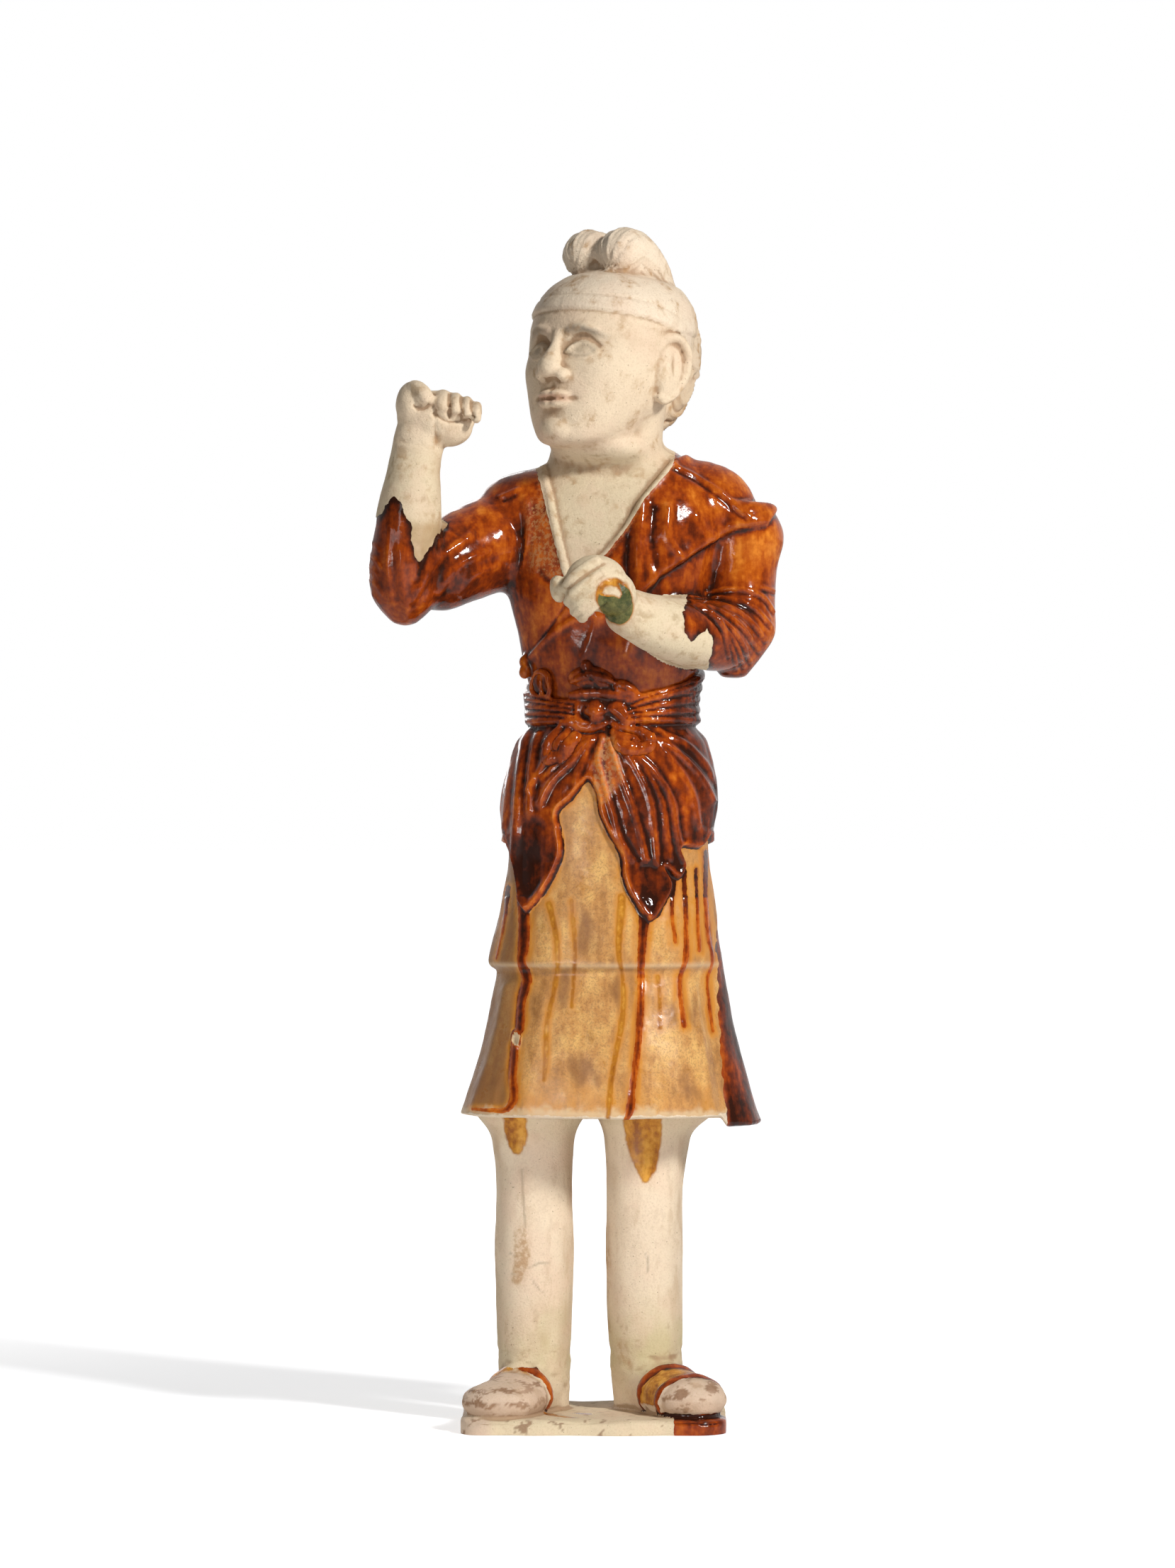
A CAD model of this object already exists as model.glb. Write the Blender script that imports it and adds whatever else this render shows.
"""A glazed pottery figure of a groom, standing on a thin slab with one fist raised and one before its chest.

The figure is one piece of fired clay. It is built here in the order that a modeller would follow: slab,
feet and legs, then the coat's skirts and sash, then the trunk, arms, neck, head and hair.
"""

import math

import bmesh
import bpy
import numpy as np
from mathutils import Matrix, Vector, noise


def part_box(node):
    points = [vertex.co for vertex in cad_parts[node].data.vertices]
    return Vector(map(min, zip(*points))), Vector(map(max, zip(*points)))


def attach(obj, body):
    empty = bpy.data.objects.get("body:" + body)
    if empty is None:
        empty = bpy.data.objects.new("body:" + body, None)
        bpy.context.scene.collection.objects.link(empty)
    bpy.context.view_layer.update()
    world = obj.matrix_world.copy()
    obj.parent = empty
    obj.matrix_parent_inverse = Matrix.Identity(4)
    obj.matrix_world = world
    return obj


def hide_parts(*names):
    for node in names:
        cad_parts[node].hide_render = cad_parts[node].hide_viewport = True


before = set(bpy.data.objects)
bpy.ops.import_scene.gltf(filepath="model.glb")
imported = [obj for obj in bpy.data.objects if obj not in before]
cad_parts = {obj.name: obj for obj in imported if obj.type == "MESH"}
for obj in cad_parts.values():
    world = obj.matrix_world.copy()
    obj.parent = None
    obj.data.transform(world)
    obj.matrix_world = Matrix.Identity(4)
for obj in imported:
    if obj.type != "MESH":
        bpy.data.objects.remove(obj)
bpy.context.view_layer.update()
CAD_NODE = "pottery_groom"

# The slab, feet and legs
# A rolled tile of clay about 9 mm thick carries two straight legs and two feet, each crossed by straps.
# All of it was left bare and creamy, with glaze only where it was brushed on or dripped.

SLAB_THICKNESS = 0.009
FIGURE_UNITS = 691  # the figure is laid out in units: so many from the soles to the top of the topknot
UNIT = (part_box(CAD_NODE)[1][2] - SLAB_THICKNESS) / FIGURE_UNITS
SLAB_UNITS = SLAB_THICKNESS / UNIT
SLAB_REACH = (-79, -60, 75, 53)  # left, front, right and back edges
SLAB_CORNER = 17
SLAB_EDGE = 2.6
SLAB_SPARE = 3  # cut off below the table's level once the clay is pressed together
SUNK = 4  # how deep the feet are pressed into the slab
RIGHT_STRAP = 41  # how far along each foot, from the heel, a strap crosses it
LEFT_STRAPS = (44, 66)
STRAP_HALF = 2.9
LEG_GRAIN = 0.0013
MASS_GRAIN = 0.0024
MOST_TRIANGLES = 192000
NO_GLAZE = -20.0  # the distance marked where a glaze isn't on the piece
BARE_CREAM = (0.72, 0.585, 0.425)
ANKLE_GREEN = (0.52, 0.44, 0.23)
WORN_PINK = (0.60, 0.45, 0.34)
WORN_BROWN = (0.22, 0.11, 0.055)
TOE_BROWN = (0.36, 0.20, 0.10)
SIDE_BUFF = (0.40, 0.27, 0.16)
DIRT_BROWN = (0.34, 0.20, 0.10)
BRUSHED_TAN = (0.52, 0.36, 0.22)
CRACK_BROWN = (0.22, 0.14, 0.08)


def along(stations, share):
    """The stations' values at these shares of their length, on a smooth curve through all of them."""
    rows = np.array(stations, float)
    steps = np.linalg.norm(np.diff(rows[:, :3], axis=0), axis=1)
    knots = np.concatenate([[0], np.cumsum(steps)]) / steps.sum()
    slopes = np.gradient(rows, knots, axis=0)
    first = np.clip(np.searchsorted(knots, share) - 1, 0, len(knots) - 2)
    span = (knots[first + 1] - knots[first])[:, None]
    t = (share - knots[first])[:, None] / span
    return (
        (2 * t**3 - 3 * t**2 + 1) * rows[first]
        + (t**3 - 2 * t**2 + t) * span * slopes[first]
        + (3 * t**2 - 2 * t**3) * rows[first + 1]
        + (t**3 - t**2) * span * slopes[first + 1]
    )


def in_place(points):
    """Figure units, measured up from the soles, as metres above the table."""
    return (np.array(points, float) + (0, 0, SLAB_UNITS)) * UNIT


def boxy(value, square):
    """A sine or cosine bent so that a round section gets boxier, or stays round where square is 2."""
    return np.sign(value) * np.abs(value) ** (2 / square)


def roll(clay, stations, side=(1, 0, 0), level=False, round_ends=True, square=2.0, grid=(40, 48)):
    """Adds a closed roll of clay: a UV sphere whose rings are drawn out along the stations.

    A station is (x, y, z, half width along side, half depth), in figure units. A level roll keeps its
    rings horizontal, and square above 2 makes the rings boxier than an ellipse.
    """
    made = bmesh.ops.create_uvsphere(clay, u_segments=grid[0], v_segments=grid[1], radius=1)["verts"]
    ball = np.array([v.co for v in made])
    share = np.clip((1 - ball[:, 2]) / 2, 0, 1)
    rows = along(stations, share)
    ahead = along(stations, np.clip(share + 0.01, 0, 1)) - along(stations, np.clip(share - 0.01, 0, 1))
    ahead = ahead[:, :3] / np.linalg.norm(ahead[:, :3], axis=1)[:, None]
    forward = np.tile((0.0, 0.0, 1.0), (len(ball), 1)) if level else ahead
    wide = np.array(side, float) - forward * (forward @ np.array(side, float))[:, None]
    wide /= np.linalg.norm(wide, axis=1)[:, None]
    deep = np.cross(forward, wide)
    angle = np.arctan2(ball[:, 1], ball[:, 0])
    off_pole = np.hypot(ball[:, 0], ball[:, 1])
    shrink = np.minimum(1, 6 * off_pole)
    if round_ends:
        length = np.linalg.norm(np.diff(np.array(stations, float)[:, :3], axis=0), axis=1).sum()
        near_end = np.clip(np.minimum(share, 1 - share) * length / rows[:, 3:5].mean(axis=1), 0, 1)
        shrink = np.sqrt(1 - (1 - near_end) ** 2)
    shrink = np.where(off_pole < 1e-4, 0, shrink)
    across = wide * (rows[:, 3] * boxy(np.cos(angle), square) * shrink)[:, None]
    back = deep * (rows[:, 4] * boxy(np.sin(angle), square) * shrink)[:, None]
    for vertex, place in zip(made, in_place(rows[:, :3] + across + back), strict=True):
        vertex.co = place


def reshaped(mesh, name, *modifiers):
    """The mesh as these modifiers leave it, each given as its kind and its settings."""
    body = bpy.data.objects.new(name, mesh)
    bpy.context.scene.collection.objects.link(body)
    for kind, settings in modifiers:
        modifier = body.modifiers.new(kind, kind)
        for setting, value in settings.items():
            setattr(modifier, setting, value)
    result = bpy.data.meshes.new_from_object(body.evaluated_get(bpy.context.evaluated_depsgraph_get()))
    bpy.data.objects.remove(body)
    return result


def pressed(clay, grain, rounds, name, add=None):
    """The rolls in clay, and a mesh to add, pressed into one closed body with its joints smoothed."""
    mesh = bpy.data.meshes.new(name)
    if add:
        clay.from_mesh(add)
    clay.to_mesh(mesh)
    clay.free()
    press = ("REMESH", {"mode": "VOXEL", "voxel_size": grain})
    return reshaped(mesh, name, press, ("SMOOTH", {"factor": 0.5, "iterations": rounds}))


def surface(mesh):
    """The mesh's points in figure units, and its normals."""
    points = np.empty(len(mesh.vertices) * 3, np.float32)
    mesh.vertices.foreach_get("co", points)
    normals = np.empty(len(mesh.vertices) * 3, np.float32)
    mesh.vertex_normals.foreach_get("vector", normals)
    points = points.reshape(-1, 3).astype(float) / UNIT - (0, 0, SLAB_UNITS)
    return points, normals.reshape(-1, 3).astype(float)


def moved(mesh, shifts):
    """Moves the mesh's points by these shifts, in figure units."""
    points, _ = surface(mesh)
    mesh.vertices.foreach_set("co", in_place(points + shifts).ravel())
    mesh.update()


def ramp(value, low, high):
    """0 below low, 1 above high, smooth between."""
    t = np.clip((value - low) / (high - low), 0, 1)
    return t * t * (3 - 2 * t)


def near(value, place, wide):
    """1 where the value is at this place, fading to both sides, to about a third at this width."""
    return np.exp(-(((value - place) / wide) ** 2))


def distance(flat, line):
    """Distance of points in a plane, or in space, from a line through these points."""
    nearest = np.full(len(flat), 1e9)
    for start, end in zip(np.array(line[:-1], float), np.array(line[1:], float), strict=True):
        ahead = end - start
        t = np.clip((flat - start) @ ahead / (ahead @ ahead), 0, 1)
        nearest = np.minimum(nearest, np.linalg.norm(flat - start - t[:, None] * ahead, axis=1))
    return nearest


def inside(flat, outline):
    """Signed distance into a closed outline in a plane, positive inside."""
    within = np.zeros(len(flat), bool)
    corners = np.array(outline, float)
    for (x0, z0), (x1, z1) in zip(corners, np.roll(corners, -1, axis=0), strict=True):
        crosses = (z0 > flat[:, 1]) != (z1 > flat[:, 1])
        at = x0 + (flat[:, 1] - z0) * (x1 - x0) / (z1 - z0 if z1 != z0 else 1e-9)
        within ^= crosses & (flat[:, 0] < at)
    depth = distance(flat, [*outline, outline[0]])
    return np.where(within, depth, -depth)


def curved(line, step=3.0):
    """A line with more points, on a smooth curve through the given ones."""
    length = np.linalg.norm(np.diff(np.array(line, float)[:, :2], axis=0), axis=1).sum()
    return along(line, np.linspace(0, 1, max(3, int(length / step) + 1)))


def ridge(flat, line, wide, tall):
    """A soft ridge along a curve, or a groove where tall is negative."""
    return tall * near(distance(flat, curved(line)), 0, wide)


def ridges(flat, folds):
    """Soft ridges and grooves along several curves, each given as (line, half width, height)."""
    return sum(ridge(flat, line, wide, tall) for line, wide, tall in folds)


def run(flat, path):
    """Signed distance into a run of glaze whose path is (x, z, width), positive inside."""
    best = np.full(len(flat), -1e9)
    smooth_path = curved(path)
    for start, end in zip(smooth_path[:-1], smooth_path[1:], strict=True):
        ahead = end[:2] - start[:2]
        t = np.clip((flat - start[:2]) @ ahead / (ahead @ ahead), 0, 1)
        half = (start[2] + t * (end[2] - start[2])) / 2
        best = np.maximum(best, half - np.linalg.norm(flat - start[:2] - t[:, None] * ahead, axis=1))
    return best


def any_run(flat, paths):
    """Signed distance into the nearest of these runs of glaze, positive inside."""
    return np.maximum.reduce([np.full(len(flat), NO_GLAZE), *(run(flat, path) for path in paths)])


def uneven(points, size, seed=0):
    """Soft noise between about -1 and 1, with lumps of this size in figure units."""
    shift = Vector((17.3 * seed, 5.1 * seed, 9.7 * seed))
    return np.array([noise.noise(Vector(p) / size + shift) for p in points])


def hollows(mesh, rounds, scale):
    """How far each point lies below its smoothed surroundings: positive in grooves, negative on ridges."""
    points, normals = surface(mesh)
    edges = np.empty(len(mesh.edges) * 2, np.int32)
    mesh.edges.foreach_get("vertices", edges)
    a, b = edges.reshape(-1, 2).T
    count = np.bincount(np.concatenate([a, b]), minlength=len(points)).clip(1)[:, None]
    smooth = points.copy()
    for _ in range(rounds):
        total = np.stack([
            np.bincount(a, smooth[b, i], len(points)) + np.bincount(b, smooth[a, i], len(points))
            for i in range(3)
        ], axis=1)
        smooth = 0.5 * smooth + 0.5 * total / count
    return np.clip(((smooth - points) * normals).sum(axis=1) / scale, -0.15, 1)


def thinned(mesh, name):
    """The mesh with no more triangles than a piece may have."""
    triangles = sum(len(p.vertices) - 2 for p in mesh.polygons)
    ratio = min(1, MOST_TRIANGLES / triangles)
    return reshaped(mesh, name, ("DECIMATE", {"ratio": ratio, "use_collapse_triangulate": True}))


def marked(mesh, **values):
    """Keeps these values at the mesh's points, for its material.

    A glaze that isn't named isn't on the piece.
    """
    for glaze in ("brown", "ochre", "straw", "green"):
        values.setdefault(glaze, np.full(len(mesh.vertices), NO_GLAZE))
    for name, value in values.items():
        if np.ndim(value) == 2:
            layer = mesh.attributes.new(name, "FLOAT_COLOR", "POINT")
            colour = np.ones((len(value), 4), np.float32)
            colour[:, :3] = value
            layer.data.foreach_set("color", colour.ravel())
        else:
            layer = mesh.attributes.new(name, "FLOAT", "POINT")
            layer.data.foreach_set("value", np.asarray(value, np.float32))


def blend(base, other, share):
    """Colours moved from base towards another colour, by a share at each point."""
    return base + (np.array(other) - base) * np.clip(share, 0, 1)[:, None]


legs_clay = bmesh.new()
right_leg = [(-36.5, 10, -SUNK, 20, 21), (-37, 9, 35, 21.8, 22.5), (-37, 8, 90, 23.4, 23),
             (-37.5, 8, 150, 23.6, 24), (-38, 8, 163, 26, 25), (-39, 8, 170, 31, 27), (-39, 8, 178, 37, 29)]
left_leg = [(30, 12, -SUNK, 20, 21), (28.5, 11, 35, 21.6, 22.5), (27.5, 10, 90, 22.8, 23),
            (28.8, 10, 150, 24.4, 24), (30, 10, 163, 27, 25), (33, 10, 170, 33, 27), (35, 10, 178, 39, 29)]
for stations in (right_leg, left_leg):
    roll(legs_clay, stations, level=True, round_ends=False)
right_foot = [(-31, 25, 26, 14), (-36, 10, 32, 19), (-44, -10, 26, 20), (-52, -28, 21, 21.5),
              (-59, -42, 19, 22), (-64, -55, 15, 17)]
left_foot = [(26, 27, 26, 14), (30, 12, 32, 19), (40, -9, 28, 20), (49, -26, 24, 21), (57, -40, 21.5, 20),
             (62, -53, 17, 15)]
for stations in (right_foot, left_foot):
    roll(legs_clay, [(x, y, (top - SUNK) / 2, wide, (top + SUNK) / 2) for x, y, top, wide in stations])
legs_mesh = pressed(legs_clay, MASS_GRAIN, 6, "legs_masses")

slab_clay = bmesh.new()
bmesh.ops.create_cube(slab_clay, size=1)
left, front, right, back = SLAB_REACH
bmesh.ops.scale(slab_clay, verts=slab_clay.verts, vec=(right - left, back - front, SLAB_UNITS + SLAB_SPARE))
bmesh.ops.translate(slab_clay, verts=slab_clay.verts,
                    vec=((left + right) / 2, (front + back) / 2, -(SLAB_UNITS + SLAB_SPARE) / 2))
rounding = {"profile": 0.5, "affect": "EDGES", "material": -1}
upright = [e for e in slab_clay.edges if abs(e.verts[0].co.z - e.verts[1].co.z) > SLAB_UNITS / 2]
bmesh.ops.bevel(slab_clay, geom=upright, offset=SLAB_CORNER, segments=8, **rounding)
rims = [e for e in slab_clay.edges if {round(abs(f.normal.z)) for f in e.link_faces} == {0, 1}]
bmesh.ops.bevel(slab_clay, geom=rims, offset=SLAB_EDGE, segments=3, **rounding)
for vertex in slab_clay.verts:
    vertex.co = Vector(in_place([vertex.co])[0])
base_mesh = pressed(slab_clay, LEG_GRAIN, 3, "base", add=legs_mesh)

points, normals = surface(base_mesh)
sag = uneven(points, 26, 1) * 0.9 + uneven(points, 9, 2) * 0.35
on_slab = ramp(-points[:, 2], -2.5, 0.5)
edge_wave = on_slab * (1.3 * np.sin(points[:, 0] / 17 + 0.6) + 0.8 * np.sin(points[:, 0] / 7.3))
front_droop = on_slab * ramp(-points[:, 1], 50, 60) * (normals[:, 2] > 0.3)
droop = -1.1 * front_droop * (1 + np.sin(points[:, 0] / 11 + 2))
lift = (0.45 + 0.35 * on_slab) * sag + edge_wave * np.abs(normals[:, 1]) + droop


def foot_length(points, foot):
    """How far along a foot each point is, from heel to toe, in figure units."""
    heel, toe = np.array(foot[0][:2], float), np.array(foot[-1][:2], float)
    return (points[:, :2] - heel) @ ((toe - heel) / np.linalg.norm(toe - heel))


low_down = (1 - ramp(points[:, 2], 36, 42)) * ramp(points[:, 2], 0.5, 3)
on_right = low_down * (points[:, 0] < -2)
on_left = low_down * (points[:, 0] > -2)
right_length = foot_length(points, right_foot)
left_length = foot_length(points, left_foot)
lift += on_right * (1.2 * near(right_length, RIGHT_STRAP, 3) - 0.7 * near(right_length, RIGHT_STRAP + 5, 2))
for place in LEFT_STRAPS:
    lift += on_left * (1.1 * near(left_length, place, 2.6) - 0.5 * near(left_length, place + 4.5, 2))
lift += low_down * 0.5 * uneven(points * (1, 1, 2), 7, 45)
lift -= 0.35 * near(points[:, 2], 33, 4)
moved(base_mesh, normals * lift[:, None])

cut = bmesh.new()
cut.from_mesh(base_mesh)
whole = [*cut.verts, *cut.edges, *cut.faces]
bmesh.ops.bisect_plane(cut, geom=whole, dist=1e-6, plane_co=(0, 0, 0), plane_no=(0, 0, -1), clear_outer=True)
rim_edges = [e for e in cut.edges if len(e.link_faces) == 1]
bmesh.ops.holes_fill(cut, edges=rim_edges)
bmesh.ops.triangulate(cut, faces=[f for f in cut.faces if len(f.verts) > 4])
cut.to_mesh(base_mesh)
cut.free()
base_mesh = thinned(base_mesh, "base_thin")

LEG_CRACKS = (
    [(-44, 141), (-43, 122), (-42, 107)],
    [(-40, 84), (-34, 86.5), (-28, 87)],
    [(-51, 92), (-46, 90)],
    [(-50, 80), (-46, 79)],
    [(-38, 77), (-34, 71), (-31, 69)],
    [(28, 92), (30, 86), (29, 81)],
)
LEG_RUNS = (  # (x, z, width) down each run of glaze below the hem
    [(-49, 190, 14), (-48, 170, 13), (-47, 160, 12), (-47, 153, 6)],
    [(24, 190, 26), (26, 172, 22), (27, 158, 20), (28, 146, 14), (28, 136, 5)],
    [(12, 190, 6), (13, 178, 4), (14, 172, 2)],
)
SLAB_DRIBBLE = [(-29, -24, 6), (-25, -36, 5), (-18, -44, 4), (-12, -46, 2)]
SHIN_SCAR = [(-45, 104, 7), (-44, 92, 9), (-47, 77, 6)]
SOILED_PATCHES = ([(5, 92, 6), (5, 64, 5)], [(14, 38, 8), (17, 28, 7)], [(-60, 120, 3), (-60, 80, 3)])

points, normals = surface(base_mesh)
front_face = points[:, [0, 2]]
height = points[:, 2]
right_length = foot_length(points, right_foot)
left_length = foot_length(points, left_foot)
on_right = points[:, 0] < -2
off_right, off_left = 30 * ~on_right, 30 * on_right
feet_zone = (1 - ramp(height, 34, 40)) * ramp(height, 0.5, 2.5)
facing = -normals[:, 1]
in_front = facing > 0
frayed = 0.9 * uneven(points, 4, 46)
right_band = np.minimum(STRAP_HALF - np.abs(right_length - RIGHT_STRAP), 26 - height) - off_right
right_band = np.minimum(right_band + frayed, points[:, 0] + 46)
left_bands = [STRAP_HALF - np.abs(left_length - place - 0.12 * (height - 14)) for place in LEFT_STRAPS]
left_band = np.minimum(np.maximum(*left_bands) + frayed, 28 - height) - off_left
sole_left = np.minimum(2.6 - height, left_length - 60) - 30 * (points[:, 0] < 20)
brown = np.maximum.reduce([right_band, left_band, sole_left])
brown = np.where((height > 0.3) & (height < 40), np.maximum(brown, NO_GLAZE), NO_GLAZE)
slab_glaze = np.minimum(np.minimum(points[:, 0] - 43.86, 1.54 - height), 8 * facing + 0.64)
brown = np.maximum(brown, np.where(points[:, 1] < -30, slab_glaze, NO_GLAZE))
ochre = np.where(height < 1.5, any_run(points[:, :2], [SLAB_DRIBBLE]), NO_GLAZE)
between_straps = 10 - np.abs(left_length - sum(LEFT_STRAPS) / 2) + 3 * uneven(points, 6, 47)
between_straps = np.minimum(between_straps, height - 6) - off_left
ochre = np.maximum(ochre, np.where((height < 30) & (height > 2), between_straps, NO_GLAZE))
over_instep = np.minimum(3.4 - np.abs(right_length - RIGHT_STRAP), -40 - points[:, 0])
over_instep = over_instep + 1.5 * uneven(points, 4, 48)
ochre = np.maximum(ochre, np.where((height < 26) & (height > 14), over_instep, NO_GLAZE))
ochre = np.maximum(ochre, np.where(in_front, any_run(front_face, LEG_RUNS), NO_GLAZE))
ochre = ochre + 0.8 * uneven(points, 3, 5)
scar = np.where(in_front & (points[:, 0] < 0), run(front_face, SHIN_SCAR), NO_GLAZE)
stain = 0.75 * ramp(scar + 0.8 * uneven(points, 2.2, 6), -0.6, 0.6)
soiled = np.where(in_front, any_run(front_face, SOILED_PATCHES), NO_GLAZE) + 1.6 * uneven(points, 3, 56)
stain = np.maximum(stain, 0.6 * ramp(soiled, -1.5, 2.5))
wandering = front_face + 0.5 * uneven(points, 3, 54)[:, None]
cracks = np.minimum.reduce([distance(wandering, line) for line in LEG_CRACKS])
crack = in_front * (1 - ramp(cracks, 0.1, 1.1))
toes = feet_zone * np.where(on_right, ramp(right_length, 44, 47), ramp(left_length, 67, 71))
wear = uneven(points * (1, 1, 2.2), 11, 7) + 0.6 * uneven(points * (1, 1, 3), 2.4, 8)
washed = 0.5 + 0.5 * ramp(uneven(points, 22, 49) + 0.4 * uneven(points, 8, 50), -0.3, 0.3)
washed *= near(height, 36, 24) + 0.45 * ramp(height, 148, 170)
low_toes = toes * (1 - ramp(height + 3 * uneven(points, 5, 55), 4, 14))
sides = ramp(np.abs(normals[:, 0]), 0.55, 0.95) * ramp(height, 8, 30)
sides *= ramp(uneven(points * (1, 1, 0.4), 12, 51), -0.4, 0.5)
dirt = ramp(uneven(points * (1, 1, 0.6), 7, 52) + 0.6 * uneven(points, 2.2, 53), 0.30, 0.75)
dirt *= ramp(height, 4, 20) * (1 - 0.7 * ramp(height, 46, 70))
slab_end = ramp(-points[:, 0], 58, 66) * ramp(-height, -1, 1)
brushed = uneven(points * (1, 1, 0.25), 6, 41) + 0.5 * uneven(points * (1, 1, 0.3), 2, 42)
chips = ramp(uneven(points, 5, 43) + 0.4 * uneven(points, 1.8, 44), 0.42, 0.52) * ramp(-height, -2, 1)
clay = np.tile(np.array(BARE_CREAM), (len(points), 1))
for colour, share in (
    (ANKLE_GREEN, 0.8 * washed + 0.3 * ramp(-height, -1, 1)),
    (WORN_PINK, 0.85 * toes),
    (WORN_BROWN, 0.9 * ramp(wear, 0.12, 0.30) * toes),
    (TOE_BROWN, 0.35 * low_toes),
    (SIDE_BUFF, 0.42 * sides),
    (DIRT_BROWN, 0.55 * dirt),
    (WORN_PINK, 0.8 * slab_end),
    (BRUSHED_TAN, 0.42 * ramp(brushed, 0.1, 0.7) * ramp(height, 20, 60)),
    (WORN_BROWN, 0.8 * chips),
    (CRACK_BROWN, 0.5 * crack),
):
    clay = blend(clay, colour, share)
marked(base_mesh, clay=clay, brown=brown + 0.5 * uneven(points, 2.5, 9), ochre=ochre, stain=stain,
       hollow=hollows(base_mesh, 10, 0.5), pool=0.06 * ramp(-height, -3, 0))
slab_and_legs = bpy.data.objects.new("slab_and_legs", base_mesh)


def shader_node(tree, kind, inputs=(), **settings):
    """A node with its settings made, and its inputs set to values or linked to other nodes' outputs."""
    made = tree.nodes.new(kind)
    for name, value in settings.items():
        setattr(made, name, value)
    for key, value in dict(inputs).items():
        if isinstance(value, bpy.types.NodeSocket):
            tree.links.new(value, made.inputs[key])
        else:
            made.inputs[key].default_value = value
    return made


GROUND_IN_DUST = (0.47, 0.31, 0.18, 1)
PINK_CLAY = (0.70, 0.50, 0.36, 1)
SANDY_GRAIN = (0.42, 0.28, 0.16, 1)
DARK_SPECK = (0.17, 0.10, 0.055, 1)
GROOVE_DIRT = (0.30, 0.17, 0.085, 1)
OLD_STAIN = (0.42, 0.25, 0.12, 1)
STRAW_FLECK = (0.20, 0.10, 0.045, 1)
STRAW_BROWN = (0.20, 0.085, 0.032, 1)
RUBBED_CREAM = (0.64, 0.47, 0.28, 1)
OCHRE_EDGE = (0.30, 0.10, 0.012, 1)
WORN_THROUGH = (0.40, 0.19, 0.07, 1)
STRAW_STOPS = ((0.38, (0.27, 0.115, 0.034)), (0.48, (0.48, 0.230, 0.070)), (0.58, (0.66, 0.38, 0.125)))
AMBER_STOPS = ((0.0, (0.58, 0.28, 0.085)), (0.5, (0.54, 0.215, 0.030)), (1.0, (0.38, 0.10, 0.010)))
OCHRE_STOPS = ((0.40, (0.27, 0.085, 0.010)), (0.50, (0.47, 0.185, 0.018)), (0.60, (0.64, 0.31, 0.045)))
BROWN_STOPS = ((0.0, (0.62, 0.19, 0.020)), (0.25, (0.43, 0.090, 0.007)), (0.48, (0.27, 0.041, 0.004)),
               (0.72, (0.125, 0.019, 0.004)), (1.0, (0.030, 0.008, 0.004)))
GREEN_STOPS = ((0.40, (0.045, 0.055, 0.014)), (0.60, (0.17, 0.155, 0.045)))


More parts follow.
